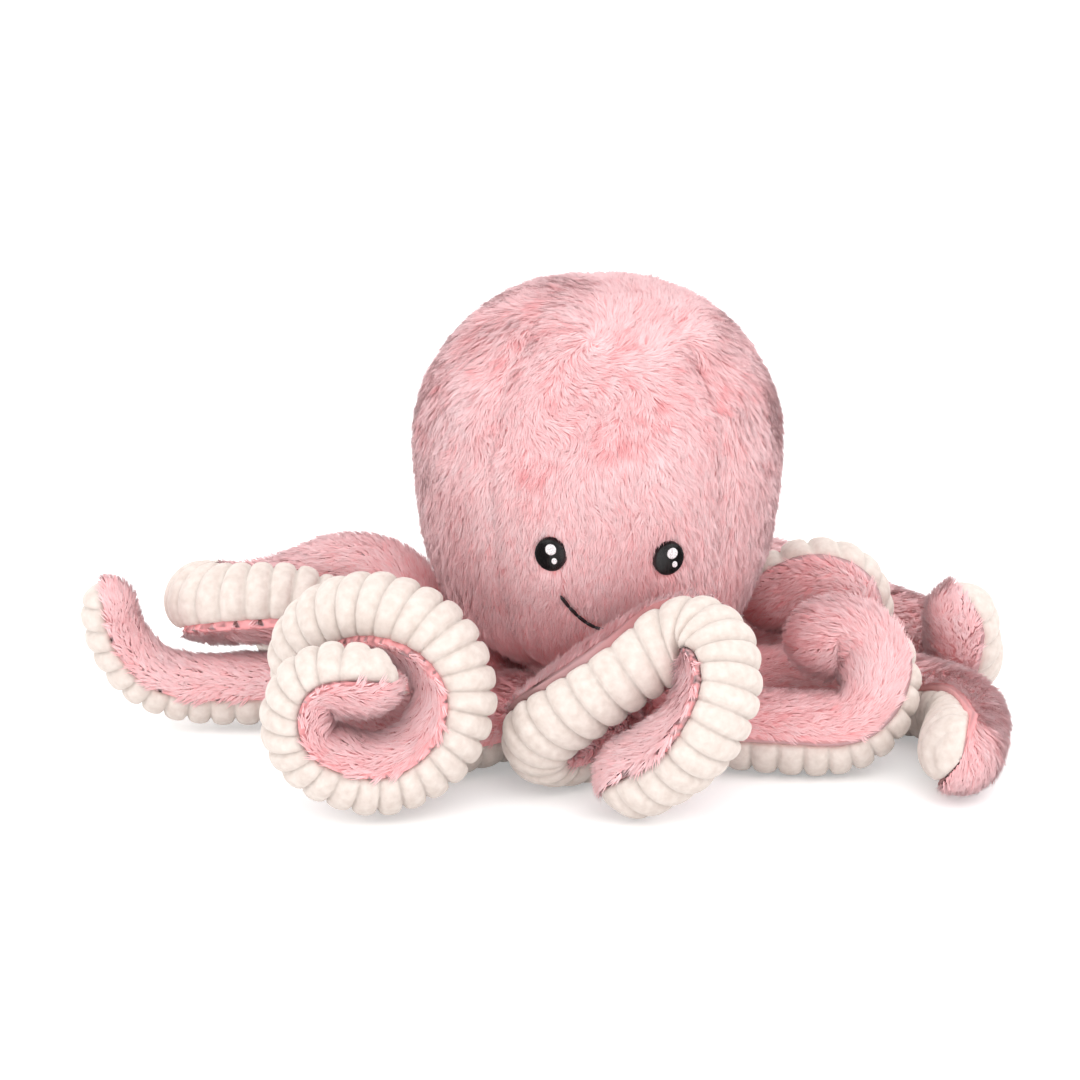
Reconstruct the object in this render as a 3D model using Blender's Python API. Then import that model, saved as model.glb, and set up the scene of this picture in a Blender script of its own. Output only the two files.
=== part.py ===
"""Plush octopus: a round head sewn from gores, and eight curling arms with ribbed undersides.

Metres, +Z up. The origin is the centre of the flat base panel, on the surface that the toy
sits on. The face looks along -Y, and the long side of the toy runs along X.
"""
import math

import bmesh
import bpy
import numpy as np
from mathutils import Matrix, Vector

# Driving sizes
HEAD_WIDTH = 0.168
HEAD_TOP = 0.215
ARM_WIDTH = 0.040
PLUSH_WALL = 0.003
BASE_THICKNESS = 0.003
RIB_PITCH = 0.0135
RIB_DEPTH = 0.0022
EYE_WIDTH = 0.0136
EYE_TALL = 0.0150
EYE_THICKNESS = 0.0016
EYE_SPACING = 0.0515
EYE_HEIGHT = 0.1057
GLINT_WIDTH = 0.0044
GLINT_THICKNESS = 0.0005
MOUTH_WIDTH = 0.042
MOUTH_BELOW_EYES = 0.0192
MOUTH_DROP = 0.0155
STITCH_WIDTH = 0.0016
GAP = 0.0003

# How the toy is cut and sewn
ARM_COUNT = 8
SEAM_GAP = 0.002
LIFT_DEGREES = 20
DROOP_DEGREES = 25
FACE_TURN_DEGREES = 3
FACE_TILT_DEGREES = 2.9
EYE_LEAN_DEGREES = 12
FACE_GORE_DEGREES = 77
OTHER_GORES = 4
GORE_STEPS_SHARE = (-1, -0.86, -0.45, 0, 0.45, 0.86, 1)
SEAM_CREASE = 0.0016
# The pouch's radius at its flat ends, as a share of its greatest radius
POUCH_END_SHARE = 0.92
# A face pad's dome: share of its width, share of its thickness
PAD_SHARES = ((0, 0), (0.5, 0), (0.5, 0.45), (0.40, 0.82), (0, 1))

# The head's outline above its foot: share of the half width, share of the height
HEAD_OUTLINE_SHARES = (
    (0.690, 0.047),
    (0.800, 0.105),
    (0.880, 0.200),
    (0.953, 0.310),
    (1.000, 0.530),
    (0.972, 0.670),
    (0.850, 0.797),
    (0.665, 0.900),
    (0.400, 0.974),
)

# An arm's half width along its length: how far along in arm widths, share of half the width
ARM_TAPER_SHARES = ((0, 0.97), (6, 0.97), (9, 0.80), (10, 0.68))
# The cream underside reaches this far round the arm on either side of the belly
SEAM_SHARE = 75 / 180
# The rings that round off an arm's two ends, in degrees from its last full ring
DOME_DEGREES = (32, 62, 84)
# How much of the arm's half width its filling takes up
FILLING_SHARE = 0.84
# Routes are drawn for a head this many arm widths across
ROUTE_HEAD_SHARE = 4.2

# Each arm's route after its root, in arm widths: place X, Y, Z, then the way its belly faces
FRONT_SHARES = (
    (-0.08, -1.66, 0.52, -0.10, -0.20, -1.00),
    (-0.32, -1.88, 0.53, -0.45, -0.30, -0.90),
    (-0.56, -2.10, 0.60, -0.70, -0.40, -0.75),
    (-0.60, -2.36, 0.86, -0.62, -0.75, -0.55),
    (-0.34, -2.56, 1.17, -0.20, -1.00, -0.50),
    (0.02, -2.62, 1.46, 0.00, -1.00, -0.42),
    (0.36, -2.62, 1.70, 0.05, -1.00, -0.30),
    (0.68, -2.59, 1.86, 0.00, -0.92, 0.25),
    (0.98, -2.67, 1.96, 0.15, -0.78, 0.60),
    (1.18, -2.89, 1.86, 0.50, -0.50, 0.60),
    (1.21, -3.15, 1.53, 0.78, -0.57, 0.28),
    (1.03, -3.29, 1.13, 0.74, -0.70, 0.00),
    (0.70, -3.12, 0.76, 0.68, -0.68, -0.30),
    (0.42, -2.96, 0.54, 0.62, -0.68, -0.40),
)
FRONT_LEFT_SHARES = (
    (-1.30, -1.28, 0.53, 0.00, 0.00, -1.00),
    (-1.85, -1.55, 0.52, -0.05, 0.00, -1.00),
    (-2.50, -1.60, 0.54, -0.30, -0.10, -1.00),
    (-3.14, -1.75, 1.28, -1.00, -0.20, 0.00),
    (-2.98, -1.98, 1.85, -0.75, -0.45, 0.70),
    (-2.40, -2.25, 2.10, 0.00, -0.62, 1.00),
    (-1.80, -2.45, 1.86, 0.65, -0.50, 0.65),
    (-1.57, -2.62, 1.33, 0.95, -0.32, 0.00),
    (-1.80, -2.80, 0.77, 0.65, -0.32, -0.65),
    (-2.40, -2.95, 0.53, 0.00, -0.32, -0.95),
    (-3.06, -3.03, 0.80, -0.65, -0.30, -0.65),
    (-3.18, -3.09, 1.26, -1.00, -0.20, 0.15),
    (-2.96, -3.16, 1.62, -0.60, 0.00, 0.80),
    (-2.54, -3.20, 1.64, 0.20, 0.10, 1.00),
)
LEFT_SHARES = (
    (-1.76, 0.16, 0.57, -0.10, 0.10, -1.00),
    (-2.02, 0.48, 0.80, -0.35, 0.45, -0.75),
    (-2.14, 0.88, 1.20, -0.35, 0.75, -0.60),
    (-2.42, 1.16, 1.53, -0.20, 0.85, -0.55),
    (-2.98, 1.28, 1.60, -0.10, 0.85, -0.55),
    (-3.55, 1.33, 1.34, -0.10, 0.90, -0.40),
    (-4.05, 1.28, 1.24, -0.35, 0.90, 0.00),
    (-4.42, 1.12, 1.30, -0.75, 0.60, 0.20),
    (-4.56, 0.78, 1.38, -0.95, 0.10, 0.40),
    (-4.40, 0.42, 1.44, -0.60, -0.40, 0.80),
    (-4.02, 0.27, 1.48, 0.00, -0.45, 0.90),
    (-3.52, 0.25, 1.48, 0.20, -0.35, 0.90),
    (-3.18, 0.26, 1.32, 0.70, -0.25, 0.60),
    (-3.04, 0.26, 0.98, 1.00, -0.15, 0.00),
    (-3.18, 0.26, 0.66, 0.70, -0.10, -0.70),
    (-3.52, 0.25, 0.50, 0.15, -0.10, -1.00),
    (-4.05, 0.22, 0.50, 0.00, -0.10, -1.00),
    (-4.62, 0.18, 0.50, -0.10, -0.10, -1.00),
    (-5.16, 0.12, 0.68, -0.60, -0.12, -0.80),
    (-5.48, 0.06, 1.12, -0.95, -0.12, -0.20),
    (-5.56, 0.02, 1.49, -1.00, -0.12, 0.05),
)
BACK_LEFT_SHARES = (
    (-1.22, 1.62, 0.53, 0.00, 0.00, -1.00),
    (-1.45, 2.20, 0.51, 0.00, 0.15, -1.00),
    (-1.88, 2.78, 0.50, 0.05, 0.20, -1.00),
    (-2.50, 3.14, 0.50, -0.10, 0.20, -1.00),
    (-3.14, 3.14, 0.50, -0.20, 0.15, -1.00),
    (-3.58, 2.86, 0.50, -0.30, 0.00, -1.00),
    (-3.70, 2.52, 0.53, -0.30, -0.20, -0.95),
)
BACK_SHARES = (
    (0.08, 1.86, 0.60, 0.00, 0.20, -1.00),
    (0.46, 2.38, 0.90, -0.10, 0.60, -0.80),
    (1.16, 2.78, 1.20, -0.05, 0.80, -0.55),
    (1.98, 2.92, 1.14, 0.20, 0.90, -0.40),
    (2.86, 2.84, 0.82, 0.40, 0.85, -0.55),
    (3.66, 2.46, 0.58, 0.60, 0.60, -0.65),
    (4.20, 1.84, 0.51, 0.75, 0.45, -0.50),
    (4.36, 1.20, 0.56, 0.98, 0.18, -0.25),
    (4.29, 0.78, 0.88, 0.97, 0.28, -0.02),
    (4.24, 0.62, 1.19, 0.90, 0.42, 0.12),
)
BACK_RIGHT_SHARES = (
    (1.48, 1.32, 0.52, 0.05, 0.00, -1.00),
    (2.10, 1.48, 0.50, 0.10, 0.05, -1.00),
    (2.72, 1.38, 0.58, 0.50, 0.15, -0.90),
    (3.06, 1.20, 1.05, 0.90, 0.40, 0.10),
    (2.92, 1.02, 1.50, 0.50, 0.65, 0.65),
    (2.52, 0.92, 1.62, 0.00, 0.75, 0.80),
    (2.18, 0.92, 1.46, -0.50, 0.75, 0.55),
)
RIGHT_SHARES = (
    (1.88, 0.16, 0.53, 0.00, 0.00, -1.00),
    (2.50, 0.26, 0.50, 0.00, -0.10, -1.00),
    (3.20, 0.20, 0.50, -0.10, -0.30, -1.00),
    (3.82, -0.20, 0.50, -0.50, -0.40, -0.80),
    (4.13, -0.84, 0.51, -0.90, -0.05, -0.50),
    (4.08, -1.48, 0.52, -1.00, -0.05, -0.10),
    (3.96, -2.00, 0.53, -0.95, -0.05, 0.25),
    (3.92, -2.26, 0.56, -0.90, -0.05, 0.40),
)
FRONT_RIGHT_SHARES = (
    (1.42, -1.28, 0.53, 0.00, -0.10, -1.00),
    (2.12, -1.42, 0.50, 0.00, -0.20, -1.00),
    (2.72, -1.45, 0.52, 0.20, -0.10, -1.00),
    (3.07, -1.33, 0.82, 0.75, 0.20, -0.60),
    (3.09, -1.04, 1.22, 0.60, 0.70, -0.25),
    (2.83, -0.86, 1.41, 0.30, 0.90, -0.30),
    (2.62, -0.83, 1.41, 0.20, 0.95, -0.30),
)
ARM_ROUTES = (
    ("arm_front", -90, FRONT_SHARES),
    ("arm_front_left", -135, FRONT_LEFT_SHARES),
    ("arm_left", 180, LEFT_SHARES),
    ("arm_back_left", 135, BACK_LEFT_SHARES),
    ("arm_back", 90, BACK_SHARES),
    ("arm_back_right", 45, BACK_RIGHT_SHARES),
    ("arm_right", 0, RIGHT_SHARES),
    ("arm_front_right", -45, FRONT_RIGHT_SHARES),
)

# Sizes that follow from those
HEAD_RADIUS = HEAD_WIDTH / 2
ROOT_RADIUS = ARM_WIDTH / 2 * ARM_TAPER_SHARES[0][1]
RING_RADIUS = (ROOT_RADIUS + SEAM_GAP / 2) / math.sin(math.pi / ARM_COUNT)
ROOT_HEIGHT = BASE_THICKNESS + GAP + ROOT_RADIUS
HEAD_FOOT = ROOT_HEIGHT + ROOT_RADIUS / math.cos(math.radians(LIFT_DEGREES)) + GAP
HEAD_FOOT_RADIUS = RING_RADIUS - ROOT_RADIUS * math.tan(math.radians(LIFT_DEGREES))
BASE_RADIUS = RING_RADIUS - (ROOT_RADIUS + GAP) * math.tan(math.radians(DROOP_DEGREES)) - GAP
POUCH_RADIUS = RING_RADIUS - ROOT_RADIUS - GAP
ROUTE_PUSH = max(0, HEAD_RADIUS - ROUTE_HEAD_SHARE * ARM_WIDTH / 2)

# How finely a route is drawn, and how often its points are eased towards their neighbours
PATH_STEPS = 12
EASING_PASSES = 24
# How strongly the inside of a curl is squashed
SQUASH = 1.36
FEWEST_RIBS = 6
# The head's slope is taken over this share of its width
SLOPE_STEPS = 40
# The points of a layer's ring from which it runs back along its neighbour's
CROSSED = {"underside": (5,), "cover": (6, 7, 8), "filling": ()}

for old in list(bpy.data.objects):
    bpy.data.objects.remove(old, do_unlink=True)

toy = bpy.data.collections.new("plush_octopus")
bpy.context.scene.collection.children.link(toy)


def material(name, colour, roughness):
    """A plain cloth, thread or fill material of one colour."""
    made = bpy.data.materials.new(name)
    made.use_nodes = True
    shader = made.node_tree.nodes["Principled BSDF"]
    shader.inputs["Base Color"].default_value = (*colour, 1)
    shader.inputs["Roughness"].default_value = roughness
    shader.inputs["Metallic"].default_value = 0
    return made


def add_object(name, mesh, cloth, smooth_degrees=50):
    """Put a finished mesh into the toy under its own name."""
    mesh.materials.append(cloth)
    mesh.shade_smooth()
    mesh.set_sharp_from_angle(angle=math.radians(smooth_degrees))
    item = bpy.data.objects.new(name, mesh)
    toy.objects.link(item)
    return item


def mesh_from(form, name):
    """Turn a bmesh into a mesh whose faces all point out."""
    bmesh.ops.recalc_face_normals(form, faces=form.faces)
    mesh = bpy.data.meshes.new(name)
    form.to_mesh(mesh)
    form.free()
    return mesh


def loft(name, rings, crossed=()):
    """A closed skin of triangles through rings of equally many points, with flat caps.

    Each four-sided patch is split the same way round in layers that meet, so that they don't
    cut into each other where an arm twists. Patches that start at a crossed point are split
    the other way, because their ring runs back along its neighbour's.
    """
    form = bmesh.new()
    rows = [[form.verts.new(point) for point in ring] for ring in rings]
    count = len(rows[0])
    for near, far in zip(rows, rows[1:]):
        for i in range(count):
            j = (i + 1) % count
            if i in crossed:
                form.faces.new((near[i], near[j], far[i]))
                form.faces.new((near[j], far[j], far[i]))
            else:
                form.faces.new((near[i], near[j], far[j]))
                form.faces.new((near[i], far[j], far[i]))
    for row in (rows[0], rows[-1]):
        turned_row = row[1:] + row[:1]
        for second, third in zip(turned_row[1:], turned_row[2:]):
            form.faces.new((turned_row[0], second, third))
    return mesh_from(form, name)


def turned(name, profile, steps):
    """A solid of revolution from (radius, height) points that start and end on the axis."""
    form = bmesh.new()
    points = [form.verts.new((radius, 0, height)) for radius, height in profile]
    edges = [form.edges.new(pair) for pair in zip(points, points[1:])]
    bmesh.ops.spin(form, geom=points + edges, cent=(0, 0, 0), axis=(0, 0, 1),
                   angle=2 * math.pi, steps=steps, use_merge=True)
    bmesh.ops.remove_doubles(form, verts=form.verts, dist=GAP / 10)
    return mesh_from(form, name)


def head_outline(inset=0):
    """(radius, height) points up the head from its foot to its crown, inset by a wall."""
    rise = HEAD_TOP - HEAD_FOOT
    points = [(HEAD_FOOT_RADIUS, HEAD_FOOT)]
    points += [(HEAD_RADIUS * wide, HEAD_FOOT + rise * high) for wide, high in HEAD_OUTLINE_SHARES]
    points.append((0, HEAD_TOP))
    if not inset:
        return points
    inner = []
    for i, (radius, height) in enumerate(points):
        before = points[max(i - 1, 0)]
        after = points[min(i + 1, len(points) - 1)]
        along = Vector((after[0] - before[0], after[1] - before[1])).normalized()
        inner.append((max(radius - along.y * inset, 0), height + along.x * inset))
    inner[0] = (points[0][0] - inset, HEAD_FOOT)
    inner[-1] = (0, HEAD_TOP - inset)
    return inner


def around(azimuth, radius, height):
    """The point at an angle round the toy's upright axis."""
    return Vector((radius * math.cos(azimuth), radius * math.sin(azimuth), height))


def head_gore(name, start, end, cloth):
    """One sewn panel of the head: a wall of plush between two seams, dipping at each seam."""
    middle, half = (start + end) / 2, (end - start) / 2
    outer, inner = head_outline(), head_outline(PLUSH_WALL)
    form = bmesh.new()
    walls = []
    for outline, is_outer in ((outer, True), (inner, False)):
        rows = []
        for radius, height in outline[:-1]:
            row = []
            for share in GORE_STEPS_SHARE:
                dip = SEAM_CREASE if is_outer and abs(share) == 1 else 0
                row.append(form.verts.new(around(middle + half * share, radius - dip, height)))
            rows.append(row)
        rows.append([form.verts.new((0, 0, outline[-1][1]))] * len(GORE_STEPS_SHARE))
        walls.append(rows)
        for low, high in zip(rows, rows[1:]):
            for i in range(len(low) - 1):
                corners = dict.fromkeys((low[i], low[i + 1], high[i + 1], high[i]))
                form.faces.new(tuple(corners))
    for (low_out, high_out), (low_in, high_in) in zip(
        zip(walls[0], walls[0][1:]), zip(walls[1], walls[1][1:])
    ):
        for side in (0, -1):
            corners = dict.fromkeys((low_out[side], high_out[side], high_in[side], low_in[side]))
            form.faces.new(tuple(corners))
    foot_out, foot_in = walls[0][0], walls[1][0]
    for i in range(len(foot_out) - 1):
        form.faces.new((foot_out[i], foot_out[i + 1], foot_in[i + 1], foot_in[i]))
    shift = around(middle, GAP / 2 / math.sin(half), 0)
    bmesh.ops.translate(form, verts=form.verts, vec=shift)
    return add_object(name, mesh_from(form, name), cloth)


def seam_angles():
    """The angle of each head seam, the first on the face's right as the toy sees it."""
    face = math.radians(FACE_TURN_DEGREES - 90)
    half = math.radians(FACE_GORE_DEGREES) / 2
    rest = (2 * math.pi - 2 * half) / OTHER_GORES
    return [face - half] + [face + half + rest * i for i in range(OTHER_GORES + 1)]


def build_head(plush, cream, fill, pellets):
    """The head's gores, its filling, the pouch of pellets low down and the base panel."""
    names = ("head_face_panel", "head_right_panel", "head_back_right_panel",
             "head_back_left_panel", "head_left_panel")
    seams = seam_angles()
    for name, start, end in zip(names, seams, seams[1:]):
        head_gore(name, start, end, plush)

    widest = max(far - near for near, far in zip(GORE_STEPS_SHARE, GORE_STEPS_SHARE[1:]))
    facet = math.radians(FACE_GORE_DEGREES) / 2 * widest
    inside = head_outline(PLUSH_WALL + GAP + HEAD_RADIUS * (1 - math.cos(facet / 2)))
    profile = [(0, HEAD_FOOT)] + inside
    add_object("head_filling", turned("head_filling", profile, 24), fill)

    low, high = BASE_THICKNESS + GAP, HEAD_FOOT - GAP
    end = POUCH_RADIUS * POUCH_END_SHARE
    barrel = [(0, low), (end, low), (POUCH_RADIUS, ROOT_HEIGHT), (end, high), (0, high)]
    add_object("pellet_pouch", turned("pellet_pouch", barrel, 24), pellets)

    panel = [(0, 0), (BASE_RADIUS, 0), (BASE_RADIUS, BASE_THICKNESS), (0, BASE_THICKNESS)]
    add_object("base_panel", turned("base_panel", panel, 32), cream, 30)


def head_radius_at(height):
    """The outside radius of the head at a height."""
    heights = [z for _, z in head_outline()]
    radii = [r for r, _ in head_outline()]
    return float(np.interp(height, heights, radii))


def face_frame(across, height):
    """Where a feature sits on the tilted face, and the way that it looks there."""
    height -= across * math.tan(math.radians(FACE_TILT_DEGREES))
    radius = head_radius_at(height)
    turn = math.radians(FACE_TURN_DEGREES)
    azimuth = turn - math.pi / 2 + math.asin(across / radius)
    step = HEAD_WIDTH / SLOPE_STEPS
    slope = (head_radius_at(height + step) - head_radius_at(height - step)) / (2 * step)
    out = (around(azimuth, 1, 0) - Vector((0, 0, slope))).normalized()
    return around(azimuth, radius, height), out


def face_pad(name, across, height, wide, tall, thick, lift, lean, cloth):
    """A low oval dome of embroidery lying on the face, its top leaning out by some degrees."""
    mesh = turned(name, PAD_SHARES, 16)
    place, out = face_frame(across, height)
    turn = out.to_track_quat("Z", "Y").to_matrix().to_4x4()
    turn = turn @ Matrix.Rotation(math.radians(-lean), 4, "Z")
    size = Matrix.Diagonal((wide, tall, thick, 1))
    mesh.transform(Matrix.Translation(place + out * lift) @ turn @ size)
    return add_object(name, mesh, cloth, 60)


def build_face(black, white):
    """Two embroidered eyes, each with a glint, and a stitched smile."""
    for side, name in ((-1, "eye_left"), (1, "eye_right")):
        across, lift = side * EYE_SPACING / 2, GAP * 2 + EYE_THICKNESS
        face_pad(name, across, EYE_HEIGHT, EYE_WIDTH, EYE_TALL, EYE_THICKNESS, GAP,
                 side * EYE_LEAN_DEGREES, black)
        face_pad(name + "_glint", across, EYE_HEIGHT + EYE_TALL / 6, GLINT_WIDTH, GLINT_WIDTH,
                 GLINT_THICKNESS, lift, 0, white)

    stitch = bpy.data.curves.new("mouth", "CURVE")
    stitch.dimensions = "3D"
    stitch.bevel_depth = STITCH_WIDTH / 2
    stitch.bevel_resolution = 1
    stitch.use_fill_caps = True
    line = stitch.splines.new("POLY")
    steps = 10
    line.points.add(steps)
    for i in range(steps + 1):
        share = 2 * i / steps - 1
        height = EYE_HEIGHT - MOUTH_BELOW_EYES - MOUTH_DROP * (1 - share * share)
        place, out = face_frame(MOUTH_WIDTH / 2 * share, height)
        line.points[i].co = (*(place + out * (STITCH_WIDTH / 2 + GAP)), 1)
    stitch.materials.append(black)
    toy.objects.link(bpy.data.objects.new("mouth", stitch))


def smooth_path(points):
    """Points along a smooth curve through the given ones, each a row of numbers."""
    rows = np.array(points, dtype=float)
    ends = np.vstack([2 * rows[0] - rows[1], rows, 2 * rows[-1] - rows[-2]])
    path = []
    for a, b, c, d in zip(ends, ends[1:], ends[2:], ends[3:]):
        for t in np.arange(PATH_STEPS) / PATH_STEPS:
            path.append(0.5 * (2 * b + (c - a) * t + (2 * a - 5 * b + 4 * c - d) * t ** 2
                               + (3 * b - a - 3 * c + d) * t ** 3))
    path = np.array(path + [rows[-1]])
    for _ in range(EASING_PASSES):
        path[1:-1] = (path[:-2] + 2 * path[1:-1] + path[2:]) / 4
    return path


def unit(vectors):
    """The same vectors, one to a row, each with a length of one."""
    return vectors / np.linalg.norm(vectors, axis=1, keepdims=True)


def running_length(path):
    """How far along a path each of its points lies."""
    return np.concatenate([[0], np.cumsum(np.linalg.norm(np.diff(path, axis=0), axis=1))])


def arm_root(azimuth):
    """The centre of an arm's rounded root, where it is sewn into the foot of the head."""
    return around(math.radians(azimuth), RING_RADIUS, ROOT_HEIGHT)


def arm_path(azimuth, shares):
    """Centre, heading, belly direction and half width along an arm, a station to each rib."""
    root = arm_root(azimuth)
    rows = [(*root, 0, 0, -1)]
    for x, y, z, *belly in shares:
        flat = Vector((x, y, 0))
        place = flat * ARM_WIDTH + flat.normalized() * ROUTE_PUSH
        rows.append((place.x, place.y, z * ARM_WIDTH, *belly))
    fine = smooth_path(rows)
    centre, belly = fine[:, :3], fine[:, 3:]
    heading = unit(np.gradient(centre, axis=0))
    belly = unit(belly - np.sum(belly * heading, axis=1, keepdims=True) * heading)
    half = ARM_WIDTH / 2 * np.interp(running_length(centre) / ARM_WIDTH, *zip(*ARM_TAPER_SHARES))
    bend = np.gradient(heading, axis=0) / np.gradient(running_length(centre))[:, None]

    walked = running_length(centre + belly * half[:, None])
    ribs = max(FEWEST_RIBS, round(walked[-1] / RIB_PITCH))
    marks = np.linspace(0, walked[-1], ribs + 1)

    def at_marks(values):
        return np.column_stack([np.interp(marks, walked, column) for column in values.T])

    heading = unit(at_marks(heading))
    belly = at_marks(belly)
    belly = unit(belly - np.sum(belly * heading, axis=1, keepdims=True) * heading)
    return at_marks(centre), heading, belly, np.interp(marks, walked, half), at_marks(bend)


def pressed(offset, bend):
    """An offset from the arm's centre, drawn in where the inside of a curl is squashed."""
    crowding = SQUASH * max(0, float(np.dot(offset, bend)))
    return offset * (1 + crowding ** 4) ** -0.25


def arc_points(start, end, count, radius=1.0):
    """(across, up) points along an arc whose angles are counted from the belly."""
    turns = [start + (end - start) * i / (count - 1) for i in range(count)]
    return [(radius * math.sin(turn), -radius * math.cos(turn)) for turn in turns]


def section_points(kind):
    """The section of one layer of an arm whose half width is one, as (across, up, at seam).

    The underside and the cover meet at a flat seam, and the filling lies inside the cover.
    """
    seam = math.pi * SEAM_SHARE
    if kind == "underside":
        outside = arc_points(-seam, seam, 6)
        return [(*point, i in (0, 5)) for i, point in enumerate(outside)]
    inside = arc_points(seam, 2 * math.pi - seam, 4, FILLING_SHARE)
    inside = [(*point, i in (0, 3)) for i, point in enumerate(inside)]
    if kind == "filling":
        return inside
    outside = arc_points(seam, 2 * math.pi - seam, 6)
    return [(*point, i in (0, 5)) for i, point in enumerate(outside)] + inside[::-1]


def arm_ring(kind, station, scale=1.0, rib=0.0, solid=False):
    """One ring of a layer of an arm. A solid ring of the cover has no hollow for filling.

    The layers meet at a flat seam that runs straight between its two pressed ends.
    """
    centre, heading, belly, half, bend = station
    side = np.cross(heading, belly)
    seam = math.pi * SEAM_SHARE
    low = belly * math.cos(seam)
    right, left = (
        pressed((low + side * way * math.sin(seam)) * half * scale, bend) for way in (1, -1)
    )
    outward = (right - left) / (2 * math.sin(seam) * half * scale)
    clear = GAP / 2 if kind == "underside" else -GAP / 2
    reach = half * scale - (GAP if kind == "filling" else 0)
    points = []
    for i, (across, up, at_seam) in enumerate(section_points(kind)):
        if at_seam or solid and i > 5:
            offset = (right + left) / 2 + outward * across * reach + belly * clear
        else:
            offset = pressed((side * across - belly * up) * (reach - rib), bend)
        points.append(centre + offset)
    return points


def arm_dome(kind, station, way):
    """The shrinking rings that round off an end of a layer."""
    centre, heading, belly, half, bend = station
    rings = []
    for degrees in DOME_DEGREES:
        angle = math.radians(degrees)
        shifted = centre + heading * way * half * math.sin(angle)
        rings.append(arm_ring(kind, (shifted, heading, belly, half, bend), math.cos(angle),
                              solid=True))
    return rings


def rib_ring(before, after, station):
    """The crest of a rib between two stations, with its seam dipping clear of any twist."""
    crest = arm_ring("underside", station)
    belly = station[2]
    dip = abs(float(np.dot(before[0] + after[-1] - before[-1] - after[0], belly))) / 4
    for i in (0, -1):
        crest[i] = (before[i] + after[i]) / 2 + belly * dip
    return crest


def arm_rings(kind, path):
    """The rings of one layer of an arm, from its rounded root to its rounded tip."""
    stations = list(zip(*path))
    rib = RIB_DEPTH if kind == "underside" else 0.0
    rings = [arm_ring(kind, station, rib=rib) for station in stations]
    if kind == "underside":
        ribbed = rings[:1]
        for i, after in enumerate(rings[1:]):
            middle = [(near[i] + near[i + 1]) / 2 for near in path]
            ribbed += [rib_ring(rings[i], after, middle), after]
        rings = ribbed
    if kind == "filling":
        return rings
    root = arm_dome(kind, stations[0], -1)[::-1]
    return root + rings + arm_dome(kind, stations[-1], 1)


def build_arms(plush, cream, fill):
    """Eight arms, each a plush cover over a filling, with a ribbed underside."""
    for name, azimuth, shares in ARM_ROUTES:
        path = arm_path(azimuth, shares)
        joint = bpy.data.objects.new(name + "_seam", None)
        joint.location = arm_root(azimuth)
        toy.objects.link(joint)
        layers = (("cover", plush), ("underside", cream), ("filling", fill))
        for kind, cloth in layers:
            mesh = loft(name + "_" + kind, arm_rings(kind, path), CROSSED[kind])
            mesh.transform(Matrix.Translation(-arm_root(azimuth)))
            layer = add_object(name + "_" + kind, mesh, cloth)
            layer.parent = joint


plush_pink = material("plush_pink", (0.87, 0.50, 0.52), 0.95)
minky_cream = material("minky_cream", (0.86, 0.77, 0.67), 0.9)
fibre_fill = material("fibre_fill", (0.90, 0.90, 0.90), 1.0)
pellet_fill = material("pellet_fill", (0.75, 0.75, 0.72), 0.8)
thread_black = material("thread_black", (0.012, 0.010, 0.011), 0.45)
thread_white = material("thread_white", (0.80, 0.74, 0.76), 0.5)

build_head(plush_pink, minky_cream, fibre_fill, pellet_fill)
build_face(thread_black, thread_white)
build_arms(plush_pink, minky_cream, fibre_fill)
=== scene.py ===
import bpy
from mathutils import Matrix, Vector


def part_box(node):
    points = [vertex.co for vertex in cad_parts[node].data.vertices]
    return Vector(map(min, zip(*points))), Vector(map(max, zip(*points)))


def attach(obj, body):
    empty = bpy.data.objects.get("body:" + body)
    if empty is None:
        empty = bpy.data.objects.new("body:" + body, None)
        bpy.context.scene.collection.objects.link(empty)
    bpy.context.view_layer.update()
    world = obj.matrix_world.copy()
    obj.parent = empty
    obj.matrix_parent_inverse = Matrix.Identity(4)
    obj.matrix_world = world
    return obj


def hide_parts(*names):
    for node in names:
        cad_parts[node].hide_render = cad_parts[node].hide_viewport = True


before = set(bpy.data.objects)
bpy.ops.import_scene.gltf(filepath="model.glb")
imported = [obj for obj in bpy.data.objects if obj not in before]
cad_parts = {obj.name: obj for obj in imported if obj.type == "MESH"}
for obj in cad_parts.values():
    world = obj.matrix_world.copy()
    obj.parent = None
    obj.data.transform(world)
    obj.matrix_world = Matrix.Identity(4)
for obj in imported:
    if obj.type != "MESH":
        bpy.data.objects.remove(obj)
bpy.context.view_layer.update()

import math
from collections import namedtuple

import bmesh
import bpy
import numpy as np
from mathutils import Matrix, Vector, kdtree, noise

# The view. The toy is seen from straight in front and a little above, from far enough away
# that the arms nearest the camera hardly look larger than the ones behind the head.
VIEW_TARGET = Vector((-0.026, 0, 0.0927))
VIEW_DISTANCE = 1.5
VIEW_ELEVATION = math.radians(15)
VIEW_LENS = 110

camera = bpy.data.cameras.new("view")
camera.lens = VIEW_LENS
view = bpy.data.objects.new("view", camera)
bpy.context.scene.collection.objects.link(view)
away = Vector((0, -math.cos(VIEW_ELEVATION), math.sin(VIEW_ELEVATION)))
view.location = VIEW_TARGET + away * VIEW_DISTANCE
view.rotation_euler = (math.pi / 2 - VIEW_ELEVATION, 0, 0)
bpy.context.scene.camera = view
bpy.context.scene.view_settings.view_transform = "Standard"


# The studio. A wide sheet of white card under the toy, light from all round, a broad soft lamp
# above the camera's right shoulder and another one, nearly level, in front. A lamp's numbers
# are its strength, its spread and its turn, the last two in degrees.
CARD_SIZE = 14
CARD_WHITE = 0.93
CARD_GLOW = 0.30
ROOM_LIGHT = 1.32
LAMPS = (("key_lamp", 0.5, 40, (42, 0, 24)), ("front_lamp", 0.65, 60, (72, 0, -8)))


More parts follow.
